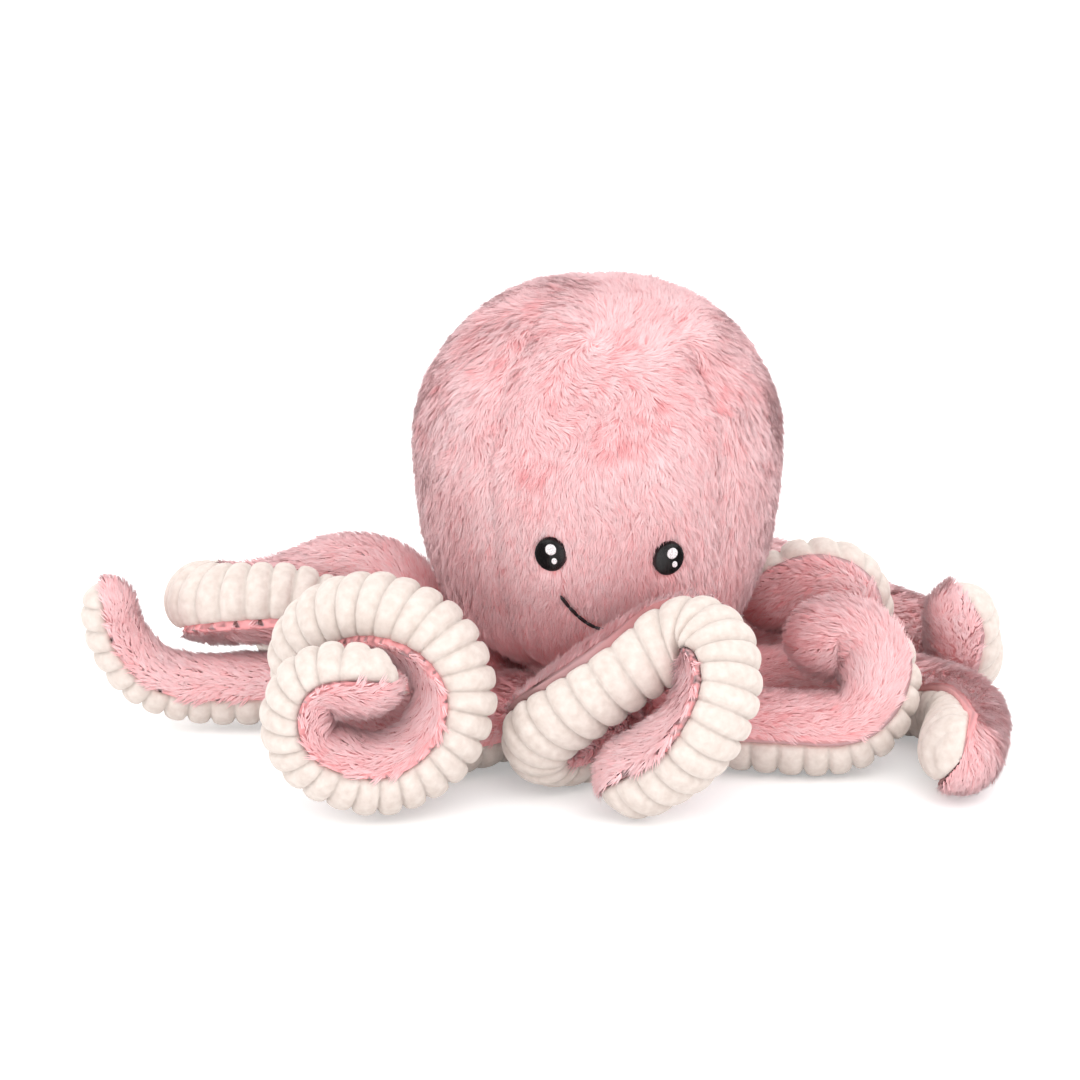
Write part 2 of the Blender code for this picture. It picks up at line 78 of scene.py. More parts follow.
def new_material(name, roughness, specular=0.5):
    """A material of this name, with its node tree and its shader."""
    material = bpy.data.materials.new(name)
    material.use_nodes = True
    shader = material.node_tree.nodes["Principled BSDF"]
    shader.inputs["Roughness"].default_value = roughness
    shader.inputs["Specular IOR Level"].default_value = specular
    return material, material.node_tree, shader


def is_seen(tree):
    """One for rays that show the background as it is: straight, mirrored or through glass."""
    path = tree.nodes.new("ShaderNodeLightPath")
    total = path.outputs["Is Camera Ray"]
    for kind in ("Is Glossy Ray", "Is Transmission Ray"):
        either = tree.nodes.new("ShaderNodeMath")
        either.operation = "MAXIMUM"
        tree.links.new(total, either.inputs[0])
        tree.links.new(path.outputs[kind], either.inputs[1])
        total = either.outputs[0]
    return total


def build_card():
    form = bmesh.new()
    bmesh.ops.create_grid(form, x_segments=1, y_segments=1, size=CARD_SIZE / 2)
    mesh = bpy.data.meshes.new("white_card")
    form.to_mesh(mesh)
    form.free()
    paper, tree, shader = new_material("white_card", roughness=1, specular=0)
    shader.inputs["Base Color"].default_value = (CARD_WHITE, CARD_WHITE, CARD_WHITE, 1)
    shader.inputs["Emission Color"].default_value = (1, 1, 1, 1)
    glow = tree.nodes.new("ShaderNodeMath")
    glow.operation = "MULTIPLY"
    glow.inputs[1].default_value = CARD_GLOW
    tree.links.new(is_seen(tree), glow.inputs[0])
    tree.links.new(glow.outputs[0], shader.inputs["Emission Strength"])
    mesh.materials.append(paper)
    card = bpy.data.objects.new("white_card", mesh)
    bpy.context.scene.collection.objects.link(card)


def light_the_room():
    world = bpy.data.worlds.new("white_room")
    bpy.context.scene.world = world
    world.use_nodes = True
    tree = world.node_tree
    backdrop = tree.nodes["Background"]
    backdrop.inputs["Color"].default_value = (1, 1, 1, 1)
    backdrop.inputs["Strength"].default_value = 1
    around_toy = tree.nodes.new("ShaderNodeBackground")
    around_toy.inputs["Color"].default_value = (1, 1, 1, 1)
    around_toy.inputs["Strength"].default_value = ROOM_LIGHT
    mix = tree.nodes.new("ShaderNodeMixShader")
    tree.links.new(is_seen(tree), mix.inputs[0])
    tree.links.new(around_toy.outputs[0], mix.inputs[1])
    tree.links.new(backdrop.outputs[0], mix.inputs[2])
    tree.links.new(mix.outputs[0], tree.nodes["World Output"].inputs["Surface"])
    for name, strength, spread, turn in LAMPS:
        lamp = bpy.data.lights.new(name, "SUN")
        lamp.energy = strength
        lamp.angle = math.radians(spread)
        sun = bpy.data.objects.new(name, lamp)
        sun.rotation_euler = [math.radians(degrees) for degrees in turn]
        bpy.context.scene.collection.objects.link(sun)


build_card()
light_the_room()


# The head's panels. Five gores of long-pile plush, cut like the skin of an orange, sewn side
# to side and turned, so that the pile hides each seam in a soft crease. The pile is combed
# down over the face and swirls out of a whorl high on the forehead.
HEAD_RADIUS = 0.084
HEAD_FOOT_RADIUS = 0.0462
HEAD_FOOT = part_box("head_face_panel")[0].z
HEAD_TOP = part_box("head_face_panel")[1].z
HEAD_OUTLINE_SHARES = (
    (0.690, 0.047), (0.800, 0.105), (0.880, 0.200), (0.953, 0.310), (1.000, 0.530),
    (0.972, 0.670), (0.850, 0.797), (0.665, 0.900), (0.400, 0.974),
)
HEAD_SEAMS = (-125.5, -48.5, 22.25, 93, 163.75, 234.5)
PANEL_NAMES = ("head_face_panel", "head_right_panel", "head_back_right_panel",
               "head_back_left_panel", "head_left_panel")
PANEL_ROWS = 46
PANEL_COLUMNS = 26
PATH_STEPS = 12
HEAD_EASING = 6
BACKING = 0.0012
SEAM_DEPTH = 0.0020
SEAM_REACH = 0.0042
SEAM_FADE_RADIUS = 0.05
SEAM_PILE_SHARE = 0.86
SEAM_PILE_REACH = 0.010
APEX_SHARE = 0.999
# The pile lies swirled round the whorl and straight down elsewhere. A row of its wander is how
# far it strays where it lies calm, how much more where it is ruffled, and its lumps' size.
HEAD_PILE = 0.0068
HEAD_PILE_DEPTH = 0.0026
HEAD_TUFTS_TO_MM2 = 2.3
WHORL = Vector((-0.004, -0.050, 0.192))
WHORL_REACH = 0.036
WHORL_TURN = 0.9
CROWN_REACH = 0.014
CROWN_WHORL_GROWTH = 1.3
CROWN_NUDGE = 0.02
CALM_AND_RUFFLED_WANDER = ((0.25, 1.3, 0.022), (0.2, 0.6, 0.008))
RUFFLED_ABOVE = 0.118
RUFFLED_RISE = 0.035
RUFFLED_FRONT = 0.55
RUFFLED_DEPTH = 0.10
ROOT_PATCHES = ((0.7, 0.012), (0.8, 0.0045))
ROOT_PATCH_TONE = 0.55
ROOT_PATCH_LIMIT = 0.5
# A painted shade deepens the pink low on the head, from this height down over this reach.
LOW_PAINTED_SHADE = 0.34
LOW_SHADE_TOP = 0.100
LOW_SHADE_REACH = 0.045
HEAD_LEAN = math.radians(71)
HEAD_SEED = 10
# A tuft is a thin cone that leans out of the cloth and is pulled towards its clump's middle.
# Tufts and clumps stray from the rest by these spreads. A look is how far a corner's normal
# follows the way out of the cloth, and how far its own side of the tuft.
TUFT_WIDTH = 0.00085
TUFT_FLATNESS = 0.3
TUFT_TRIMS = 5 * (1.0, 0.6)
TUFT_TRIM_SHARE = 0.72
TUFT_STUB = 0.2
TUFT_SPREADS = {"turn": 0.22, "lean": 0.08, "length": 0.16, "tone": 0.10}
TUFT_LENGTH_LIMITS = (0.6, 1.35)
TUFT_TIP_LOOK = 0.6
TUFT_OUTER_LOOK = (1.0, 0.45)
TUFT_INNER_LOOK = (0.25, 1.05)
CLUMP_SIZE = 14
CLUMP_SPREADS = {"turn": 0.26, "lean": 0.07, "tone": 0.08}
CLUMP_PULL = 0.38
CLUMP_WIDTH = 0.45
CLUMP_REACH = 0.00544
STRAY_PULL = 0.3
# The tone runs from deep pink to pale across the map OFBake, and from root to tip up it. The
# darkening towards each root, and the darker skin under the tufts, are a painted shade of the deep
# pile.
TONE_MIDDLE = 0.56
TONE_DRIFTS = ((0.20, 0.030), (0.10, 0.011))
TONE_LIMITS = (0.02, 0.96)
ROOT_UV, TIP_UV = 0.2, 0.95
# The skin sits low on the map, in the pile's painted shade.
SKIN_UV = (0.42, 0.12)
FACE_UV = 0.02
TONE_UV_START = 0.004
PLUSH_SHADES = ((0.0, (0.92, 0.350, 0.365)), (0.45, (0.985, 0.590, 0.605)),
                (1.0, (0.99, 0.750, 0.765)))
PAINTED_ROOT_SHADE = ((0.0, (0.94, 0.62, 0.62)), (0.45, (0.99, 0.96, 0.96)), (1.0, (1.0, 1.0, 1.0)))
# The face's places and sizes, which the pile is parted for.
FACE_TURN = 3
FACE_TILT = math.radians(2.9)
EYE_SPACING = 0.0515
EYE_HEIGHT = 0.1057
EYE_WIDTH = 0.0136
EYE_TALL = 0.0150
EYE_LEAN = math.radians(12)
MOUTH_WIDTH = 0.042
MOUTH_BELOW_EYES = 0.0192
MOUTH_DROP = 0.0155
STITCH_WIDTH = 0.0016
SMILE_POINTS = 31
PARTED_SHARE = 0.75
GROUND_CLEAR = 0.0004


def ramp(tree, stops):
    """A colour ramp with the given (place, colour) stops."""
    node = tree.nodes.new("ShaderNodeValToRGB")
    marks = node.color_ramp.elements
    while len(marks) < len(stops):
        marks.new(1)
    for mark, (place, colour) in zip(marks, stops):
        mark.position = place
        mark.color = (*colour, 1)
    return node


def plush_material():
    """Long pile whose tone lies across its map and whose root and tip lie up and down it, darkened
    towards the root by a painted shade.
    """
    cloth, tree, shader = new_material("long_pile_pink", roughness=0.85, specular=0.2)
    shader.inputs["Sheen Weight"].default_value = 0.7
    shader.inputs["Sheen Roughness"].default_value = 0.4
    shader.inputs["Sheen Tint"].default_value = (1.0, 0.72, 0.74, 1)
    uv = tree.nodes.new("ShaderNodeUVMap")
    uv.uv_map = "OFBake"
    split = tree.nodes.new("ShaderNodeSeparateXYZ")
    tree.links.new(uv.outputs[0], split.inputs[0])
    # The tone is multiplied by the pile's painted shade, darker towards the root.
    tone, pile = ramp(tree, PLUSH_SHADES), ramp(tree, PAINTED_ROOT_SHADE)
    tree.links.new(split.outputs["X"], tone.inputs[0])
    tree.links.new(split.outputs["Y"], pile.inputs[0])
    both = tree.nodes.new("ShaderNodeMix")
    both.data_type = "RGBA"
    both.blend_type = "MULTIPLY"
    both.inputs["Factor"].default_value = 1
    tree.links.new(tone.outputs[0], both.inputs["A"])
    tree.links.new(pile.outputs[0], both.inputs["B"])
    tree.links.new(both.outputs["Result"], shader.inputs["Base Color"])
    return cloth


def unit(vectors):
    return vectors / np.maximum(np.linalg.norm(vectors, axis=-1, keepdims=True), 1e-9)


def squared(vectors, axes):
    """Unit vectors, each made square to its axis."""
    return unit(vectors - np.sum(vectors * axes, axis=1, keepdims=True) * axes)


def turned_about(vectors, axes, angles):
    """Vectors that lie square to their axes, turned about them."""
    angles = np.asarray(angles)[:, None]
    return vectors * np.cos(angles) + np.cross(axes, vectors) * np.sin(angles)


def drift(points, size):
    """Smooth noise from -1 to 1 whose lumps are about this size."""
    return np.array([noise.noise(Vector(point) / size) for point in points])


def drifts(points, layers):
    """Layers of drift added up, each as deep and as large as its pair of numbers says."""
    return sum(depth * drift(points, size) for depth, size in layers)


def laid_grid(rows, columns, place):
    """A sheet of cloth laid where place says for its two shares, with its pile's length and comb."""
    form = bmesh.new()
    pile = form.verts.layers.float.new("pile")
    comb = form.verts.layers.float_vector.new("comb")
    bmesh.ops.create_grid(form, x_segments=rows, y_segments=columns, size=0.5)
    shares = np.array([vert.co[:2] for vert in form.verts]) + 0.5
    for vert, point, length, way in zip(form.verts, *place(shares[:, 0], shares[:, 1])):
        vert.co = point
        vert[pile] = length
        vert[comb] = way
    bmesh.ops.remove_doubles(form, verts=form.verts, dist=1e-6)
    bmesh.ops.recalc_face_normals(form, faces=form.faces)
    return form


def tuft_form():
    """One tuft of unit size as (points, faces): a thin cone of three sides."""
    form = bmesh.new()
    bmesh.ops.create_cone(form, segments=3, radius1=0.5, radius2=0, depth=1, cap_ends=False)
    bmesh.ops.translate(form, verts=form.verts, vec=(0, 0, 0.5))
    bmesh.ops.remove_doubles(form, verts=form.verts, dist=1e-5)
    form.verts.index_update()
    points = np.array([vert.co[:] for vert in form.verts])
    faces = [[vert.index for vert in face.verts] for face in form.faces]
    form.free()
    return points, faces


def rooted(mesh, density, seed):
    """Roots spread evenly over a mesh wherever its pile has a length, with what lies there."""
    mesh.calc_loop_triangles()
    corners = np.array([triangle.vertices[:] for triangle in mesh.loop_triangles])
    points = np.array([vert.co[:] for vert in mesh.vertices])
    normals = np.array([vert.normal[:] for vert in mesh.vertices])
    pile = np.array([item.value for item in mesh.attributes["pile"].data])
    comb = np.array([item.vector[:] for item in mesh.attributes["comb"].data])
    sides = points[corners]
    areas = np.linalg.norm(np.cross(sides[:, 1] - sides[:, 0], sides[:, 2] - sides[:, 0]), axis=1)
    areas = areas / 2 * np.all(pile[corners] > 0, axis=1)
    count = round(areas.sum() * density * 1e6)
    chance = np.random.default_rng(seed)
    marks = (np.arange(count) + chance.random(count)) / count * areas.sum()
    face = np.minimum(np.searchsorted(np.cumsum(areas), marks), len(corners) - 1)
    along, across = np.sqrt(chance.random(count)), chance.random(count)
    parts = np.column_stack([1 - along, along * (1 - across), along * across])[:, :, None]
    spread = [np.sum(values[corners[face]] * parts, axis=1)
              for values in (points, normals, comb, pile[:, None])]
    return spread[0], unit(spread[1]), spread[2], spread[3][:, 0], chance


def grow_pile(mesh, length, density, lean, seed, patches, blocked=None):
    """Tufts rooted all over a piece of plush, each with its outward normals and its tone."""
    roots, out, comb, pile, chance = rooted(mesh, density, seed)
    count = len(roots)
    comb = squared(comb, out)
    centres = np.arange(0, count, CLUMP_SIZE)
    tree = kdtree.KDTree(len(centres))
    for i, root in enumerate(roots[centres]):
        tree.insert(root, i)
    tree.balance()
    clump = np.array([tree.find(root)[1] for root in roots])
    turn, tilt, shade = (chance.normal(0, CLUMP_SPREADS[kind], len(centres))[clump]
                         for kind in ("turn", "lean", "tone"))
    comb = turned_about(comb, out, turn + chance.normal(0, TUFT_SPREADS["turn"], count))
    leans = (lean + tilt + chance.normal(0, TUFT_SPREADS["lean"], count))[:, None]
    lengths = length * pile * np.clip(chance.normal(1, TUFT_SPREADS["length"], count),
                                      *TUFT_LENGTH_LIMITS)
    straight = out * np.cos(leans) + comb * np.sin(leans)

    def reach(share):
        return lengths[:, None] * straight * share

    if blocked:
        for share in TUFT_TRIMS:
            lengths = lengths * np.where(blocked(roots + reach(share)), TUFT_TRIM_SHARE, 1)
        lengths = lengths * ~blocked(roots)
    tips = roots + reach(1.0)
    apart = roots - roots[centres][clump]
    together = CLUMP_PULL * (tips[centres][clump] + CLUMP_WIDTH * apart - tips)
    together[np.linalg.norm(apart, axis=1) > CLUMP_REACH] *= STRAY_PULL

    side = unit(np.cross(straight, out))
    flat = np.cross(straight, side)
    form, faces = tuft_form()
    rows = []
    looks = []
    for x, y, z in form:
        width = TUFT_WIDTH * (x * side + TUFT_FLATNESS * y * flat)
        rows.append(roots + reach(z) + together * z ** 2 + width)
        if z == 1:
            looks.append(unit(out + TUFT_TIP_LOOK * straight))
        else:
            outward, own = TUFT_OUTER_LOOK if y <= 0 else TUFT_INNER_LOOK
            looks.append(unit(outward * out + own * unit(x * side + y * flat)))
    kept = lengths > TUFT_STUB * length
    points = np.stack(rows, axis=1)[kept]
    points[..., 2] = np.maximum(points[..., 2], GROUND_CLEAR)
    looks = np.stack(looks, axis=1)[kept]
    # Each tuft's tone takes in the patches and the painted shade that its place is given.
    tone = TONE_MIDDLE + drifts(roots, TONE_DRIFTS) + shade + patches(roots)
    tone = np.clip(tone + chance.normal(0, TUFT_SPREADS["tone"], count), *TONE_LIMITS)[kept]
    return points, looks, tone, form, faces


def tuft_mesh(name, points, tone, form, faces):
    """The tufts as one mesh, mapped by tone across and from root to tip up."""
    count, size = points.shape[:2]
    mesh = bpy.data.meshes.new(name)
    mesh.vertices.add(count * size)
    mesh.vertices.foreach_set("co", points.reshape(-1))
    corners = np.concatenate(faces)
    sizes = np.array([len(face) for face in faces])
    starts = np.concatenate([[0], np.cumsum(sizes)[:-1]])
    mesh.loops.add(count * len(corners))
    mesh.polygons.add(count * len(faces))
    steps = np.arange(count)[:, None]
    mesh.loops.foreach_set("vertex_index", (corners + steps * size).reshape(-1))
    mesh.polygons.foreach_set("loop_start", (starts + steps * len(corners)).reshape(-1))
    mesh.polygons.foreach_set("loop_total", np.tile(sizes, count))
    mesh.update(calc_edges=True)
    middles = [np.mean(form[face], axis=0) for face in faces]
    turns = np.concatenate([
        [np.cross(middle[:2], form[corner][:2]) for corner in face]
        for face, middle in zip(faces, middles)
    ])
    uv = mesh.uv_layers.new(name="OFBake")
    across = tone[:, None] + FACE_UV * turns[None, :] + TONE_UV_START
    up = np.broadcast_to(ROOT_UV + (TIP_UV - ROOT_UV) * form[corners, 2], across.shape)
    tips = np.broadcast_to(form[corners, 2] == 1, across.shape)
    across = np.where(tips, tone[:, None] + TONE_UV_START, across)
    uv.data.foreach_set("uv", np.stack([across, up], axis=-1).reshape(-1))
    return mesh


def furred(name, form, pile, cloth):
    """A finished piece of plush: its skin with its tufts, and normals that follow the pile."""
    points, looks, tone, tuft, faces = pile
    uv = form.loops.layers.uv.new("OFBake")
    for face in form.faces:
        face.smooth = True
        for i, corner in enumerate(face.loops):
            turn = 2 * math.pi * i / len(face.loops)
            corner[uv].uv = (SKIN_UV[0] + FACE_UV * math.cos(turn),
                             SKIN_UV[1] + FACE_UV * math.sin(turn))
    skin = bpy.data.meshes.new(name)
    form.to_mesh(skin)
    own = np.array([vert.normal[:] for vert in skin.vertices])
    tufts = tuft_mesh(name + "_tufts", points, tone, tuft, faces)
    form.from_mesh(tufts)
    form.to_mesh(skin)
    form.free()
    bpy.data.meshes.remove(tufts)
    skin.shade_smooth()
    skin.normals_split_custom_set_from_vertices(np.concatenate([own, looks.reshape(-1, 3)]))
    return show(name, skin, cloth)


def show(name, mesh, cloth):
    """A mesh as a piece of this cloth, without its notes on the pile."""
    for spare in ("pile", "comb"):
        if spare in mesh.attributes:
            mesh.attributes.remove(mesh.attributes[spare])
    mesh.materials.clear()
    mesh.materials.append(cloth)
    piece = bpy.data.objects.new(name, mesh)
    bpy.context.scene.collection.objects.link(piece)
    return piece


def smooth_path(points, easing):
    """Points along a smooth curve through the given rows of numbers, evened out this often."""
    rows = np.array(points, dtype=float)
    ends = np.vstack([2 * rows[0] - rows[1], rows, 2 * rows[-1] - rows[-2]])
    path = []
    for a, b, c, d in zip(ends, ends[1:], ends[2:], ends[3:]):
        for t in np.arange(PATH_STEPS) / PATH_STEPS:
            path.append(0.5 * (2 * b + (c - a) * t + (2 * a - 5 * b + 4 * c - d) * t ** 2
                               + (3 * b - a - 3 * c + d) * t ** 3))
    path = np.array(path + [rows[-1]])
    for _ in range(easing):
        path[1:-1] = (path[:-2] + 2 * path[1:-1] + path[2:]) / 4
    return path


def running_length(path):
    return np.concatenate([[0], np.cumsum(np.linalg.norm(np.diff(path, axis=0), axis=1))])


def head_outline():
    """Radius, height and outward way up the head, with how far up each point lies."""
    rise = HEAD_TOP - HEAD_FOOT
    points = [(HEAD_FOOT_RADIUS, HEAD_FOOT)]
    points += [(HEAD_RADIUS * wide, HEAD_FOOT + rise * high) for wide, high in HEAD_OUTLINE_SHARES]
    path = smooth_path(points + [(0, HEAD_TOP)], HEAD_EASING)
    slope = unit(np.gradient(path, axis=0))
    slope[-1] = (-1, 0)
    return path, np.column_stack([slope[:, 1], -slope[:, 0]]), running_length(path)


def head_skin(up, azimuth, depth):
    """Points of the head's skin this deep below its pile, and the way out at each."""
    path, outward, walked = head_outline()
    at = up * walked[-1]
    radius, height, wide, high = (
        np.interp(at, walked, column) for column in (*path.T, *outward.T)
    )
    wide = np.where(up > APEX_SHARE, 0, wide)
    away = np.radians(np.array(HEAD_SEAMS))[:, None] - azimuth[None, :]
    seam = np.min(np.abs((away + np.pi) % (2 * np.pi) - np.pi), axis=0) * radius
    crease = SEAM_DEPTH * np.exp(-(seam / SEAM_REACH) ** 2)
    crease = crease * np.clip(radius / SEAM_FADE_RADIUS, 0, 1) ** 3
    radius = np.maximum(radius - wide * (depth + crease), 0)
    height = height - high * (depth + crease)
    round_about = np.column_stack([np.cos(azimuth), np.sin(azimuth)])
    points = np.column_stack([radius[:, None] * round_about, height])
    out = np.column_stack([wide[:, None] * round_about, high])
    return points, unit(out), seam


def head_comb(points, out):
    """The way the head's pile is brushed: out of the whorl in a swirl, then down."""
    down = np.array([0, 0, -1.0]) + out[:, 2:3] * out
    down = unit(down + CROWN_NUDGE * np.cross(out, [0, 1.0, 0]))
    swirl = points - np.array(WHORL)
    over = np.clip((points[:, 2] - WHORL.z) / CROWN_REACH, 0, 1)
    reach = WHORL_REACH * (1 + CROWN_WHORL_GROWTH * over)
    near = np.exp(-(np.linalg.norm(swirl, axis=1) / reach) ** 2)[:, None]
    swirl = turned_about(squared(swirl, out), out, np.full(len(points), WHORL_TURN))
    comb = unit(near * swirl + (1 - near) * down)
    wander = sum((calm + rough * ruffled(points)) * drift(points, size)
                 for calm, rough, size in CALM_AND_RUFFLED_WANDER)
    return turned_about(comb, out, wander)


def ruffled(points):
    """How far the pile has been ruffled by handling: most on the upper front of the head."""
    high = np.clip((points[:, 2] - RUFFLED_ABOVE) / RUFFLED_RISE, 0, 1)
    return high * np.clip(RUFFLED_FRONT - points[:, 1] / RUFFLED_DEPTH, 0, 1)


def head_patches_and_shade(points):
    """Darker patches where ruffled pile shows its roots, and a painted shade that deepens the pink
    low on the head.
    """
    lumps = np.clip(drifts(points, ROOT_PATCHES), 0, ROOT_PATCH_LIMIT)
    # The painted shade low on the head.
    low = np.clip((LOW_SHADE_TOP - points[:, 2]) / LOW_SHADE_REACH, 0, 1)
    return -ROOT_PATCH_TONE * ruffled(points) * lumps - LOW_PAINTED_SHADE * low


def face_frame(across, height):
    """Where a feature lies on the tilted face's pile, the way it looks and its right side."""
    path, outward, walked = head_outline()
    height -= across * math.tan(FACE_TILT)
    up = np.interp(height, path[:, 1], walked) / walked[-1]
    radius = np.interp(height, path[:, 1], path[:, 0])
    azimuth = math.radians(FACE_TURN - 90) + math.asin(across / radius)
    point, out, _ = head_skin(np.array([up]), np.array([azimuth]), 0)
    out = Vector(out[0])
    right = Vector((0, 0, 1)).cross(-out).normalized() * -1
    return Vector(point[0]), out, right


def mouth_point(share):
    """Where the smile runs, from -1 at one corner to 1 at the other."""
    height = EYE_HEIGHT - MOUTH_BELOW_EYES - MOUTH_DROP * (1 - share * share)
    return face_frame(MOUTH_WIDTH / 2 * share, height)


def under_the_stitching():
    """A test for points that lie where the eyes and the mouth are sewn through the pile."""
    eyes = [face_frame(side * EYE_SPACING / 2, EYE_HEIGHT) for side in (-1, 1)]
    smile = [mouth_point(share) for share in np.linspace(-1, 1, SMILE_POINTS)]

    def blocked(points):
        hit = np.zeros(len(points), dtype=bool)
        for place, out, right in eyes:
            up = np.array(out.cross(right))
            offset = points - np.array(place)
            x = offset @ np.array(right) / (EYE_WIDTH / 2)
            y = offset @ up / (EYE_TALL / 2)
            hit |= (x * x + y * y < 1) & (np.linalg.norm(offset, axis=1) < 2 * EYE_TALL)
        for place, out, _ in smile:
            offset = points - np.array(place)
            offset = offset - np.outer(offset @ np.array(out), np.array(out))
            hit |= np.linalg.norm(offset, axis=1) < PARTED_SHARE * STITCH_WIDTH
        return hit

    return blocked


def build_head_panels(cloth):
    blocked = under_the_stitching()
    for i, name in enumerate(PANEL_NAMES):
        start, end = np.radians(HEAD_SEAMS[i]), np.radians(HEAD_SEAMS[i + 1])

        def place(up, across):
            azimuth = start + (end - start) * across
            points, out, seam = head_skin(up, azimuth, HEAD_PILE_DEPTH)
            away = np.clip(seam / SEAM_PILE_REACH, 0, 1)
            pile = SEAM_PILE_SHARE + (1 - SEAM_PILE_SHARE) * away
            return points, pile, head_comb(points, out)

        form = laid_grid(PANEL_ROWS, PANEL_COLUMNS, place)
        middle = Vector((0, 0, (HEAD_TOP + HEAD_FOOT) / 2))
        if sum((face.calc_center_median() - middle).dot(face.normal) for face in form.faces) < 0:
            bmesh.ops.reverse_faces(form, faces=form.faces)
        sheet = bpy.data.meshes.new(name)
        form.to_mesh(sheet)
        pile = grow_pile(sheet, HEAD_PILE, HEAD_TUFTS_TO_MM2, HEAD_LEAN, HEAD_SEED + i,
                         head_patches_and_shade, blocked if i == 0 else None)
        bpy.data.meshes.remove(sheet)
        bmesh.ops.solidify(form, geom=form.faces[:], thickness=BACKING)
        bmesh.ops.recalc_face_normals(form, faces=form.faces)
        panel = furred(name.replace("head", "plush"), form, pile, cloth)
        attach(panel, "body")
        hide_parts(name)


plush = plush_material()
build_head_panels(plush)


# The eyes and the mouth. Satin-stitched ovals of black thread, each with two patches of white
# thread for its glint, and a smile of black stitches pulled down into the pile.
EYE_THICK = 0.0016
EYE_SINK = 0.0004
EYE_FOOT = 0.003
GLINTS = (("", 0.00072, 0.0031, 0.0048, 0.0050), ("_small", 0.00216, -0.0021, 0.0024, 0.0028))
GLINT_THICK = 0.0006
GLINT_HEIGHT = 0.00128
SATIN_SEGMENTS = 64
SATIN_ROWS = 18
SATIN_RIM_SHARE = 0.25
SATIN_ROUNDING = 2.5
THREAD_BLACK = (0.006, 0.004, 0.005)
THREAD_WHITE = (0.86, 0.74, 0.79)
# Darker and paler speckles of the thread's grain, the paler ones lifted by a painted sheen.
THREAD_DARK, THREAD_PALE, THREAD_PAINTED_SHINE = 0.6, 1.35, 0.004
THREAD_PITCH = 0.00042
THREAD_DEPTH_SHARE = 0.09
STITCHES = 11
STITCH_OVERLAP = 1.12
STITCH_SINK_SHARE = 0.10
STITCH_END_LIMIT = 2.2
STITCH_ROUNDING = 5
STITCH_SIDES = 10
STITCH_RINGS = 12


def speckled(tree, scale, detail):
    """Noise with this many speckles to the metre, more or less."""
    where = tree.nodes.new("ShaderNodeTexCoord")
    speckles = tree.nodes.new("ShaderNodeTexNoise")
    speckles.inputs["Scale"].default_value = scale
    speckles.inputs["Detail"].default_value = detail
    tree.links.new(where.outputs["Object"], speckles.inputs["Vector"])
    return speckles


def coloured(tree, shader, speckles, stops):
    """Colours a material by its speckles, from the ramp's first colour to its last."""
    shades = ramp(tree, stops)
    tree.links.new(speckles.outputs["Fac"], shades.inputs[0])
    tree.links.new(shades.outputs[0], shader.inputs["Base Color"])


def raised(tree, shader, speckles, strength, height):
    """Lets a material's speckles stand out from it by this height."""
    bump = tree.nodes.new("ShaderNodeBump")
    bump.inputs["Strength"].default_value = strength
    bump.inputs["Distance"].default_value = height
    tree.links.new(speckles.outputs["Fac"], bump.inputs["Height"])
    tree.links.new(bump.outputs[0], shader.inputs["Normal"])


def thread_material(name, colour, roughness):
    """Stranded embroidery thread with a fine silky grain, its paler speckles lifted by a painted
    sheen.
    """
    thread, tree, shader = new_material(name, roughness)
    grain = speckled(tree, scale=2400, detail=2)
    dark = tuple(THREAD_DARK * value for value in colour)
    pale = tuple(min(THREAD_PALE * value + THREAD_PAINTED_SHINE, 1) for value in colour)
    coloured(tree, shader, grain, ((0.35, dark), (0.65, pale)))
    raised(tree, shader, grain, strength=0.4, height=0.0001)
    return thread


def smooth_mesh(name, form):
    """A form as a mesh that is shaded smooth."""
    mesh = bpy.data.meshes.new(name)
    form.to_mesh(mesh)
    form.free()
    mesh.shade_smooth()
    return mesh


def satin_patch(name, place, out, right, wide, tall, thick, foot, thread, node):
    """An oval of parallel threads that stands on the pile, with its edge run down into it."""
    form = bmesh.new()
    columns = max(8, 3 * round(wide / THREAD_PITCH))
    bmesh.ops.create_circle(form, cap_ends=True, cap_tris=True, segments=SATIN_SEGMENTS,
                            radius=0.5)
    for way, cuts in (((1, 0, 0), columns), ((0, 1, 0), SATIN_ROWS)):
        for offset in np.linspace(-0.5, 0.5, cuts + 1)[1:-1]:
            bmesh.ops.bisect_plane(form, geom=form.verts[:] + form.edges[:] + form.faces[:],
                                   plane_co=Vector(way) * offset, plane_no=way)
    rim = [edge for edge in form.edges if edge.is_boundary]
    skirt = bmesh.ops.extrude_edge_only(form, edges=rim)["geom"]
    low = {item for item in skirt if isinstance(item, bmesh.types.BMVert)}
    frame_turn = Matrix((right, out.cross(right), out)).transposed()
    for vert in form.verts:
        x, y = vert.co.x, vert.co.y
        if vert in low:
            vert.co = frame_turn @ Vector((x * wide, y * tall, -foot)) + place
            continue
        edge = min(1.0, 4 * (x * x + y * y))
        dome = (1 - edge ** SATIN_ROUNDING) ** 0.5
        rise = thick * (SATIN_RIM_SHARE + (1 - SATIN_RIM_SHARE) * dome)
        rise -= THREAD_DEPTH_SHARE * thick * math.cos(2 * math.pi * x * wide / THREAD_PITCH)
        vert.co = frame_turn @ Vector((x * wide, y * tall, rise)) + place
    bmesh.ops.holes_fill(form, edges=[edge for edge in form.edges if edge.is_boundary])
    bmesh.ops.recalc_face_normals(form, faces=form.faces)
    mesh = smooth_mesh(name, form)
    mesh.set_sharp_from_angle(angle=math.radians(60))
    patch = show(name, mesh, thread)
    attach(patch, "body")
    if node:
        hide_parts(node)


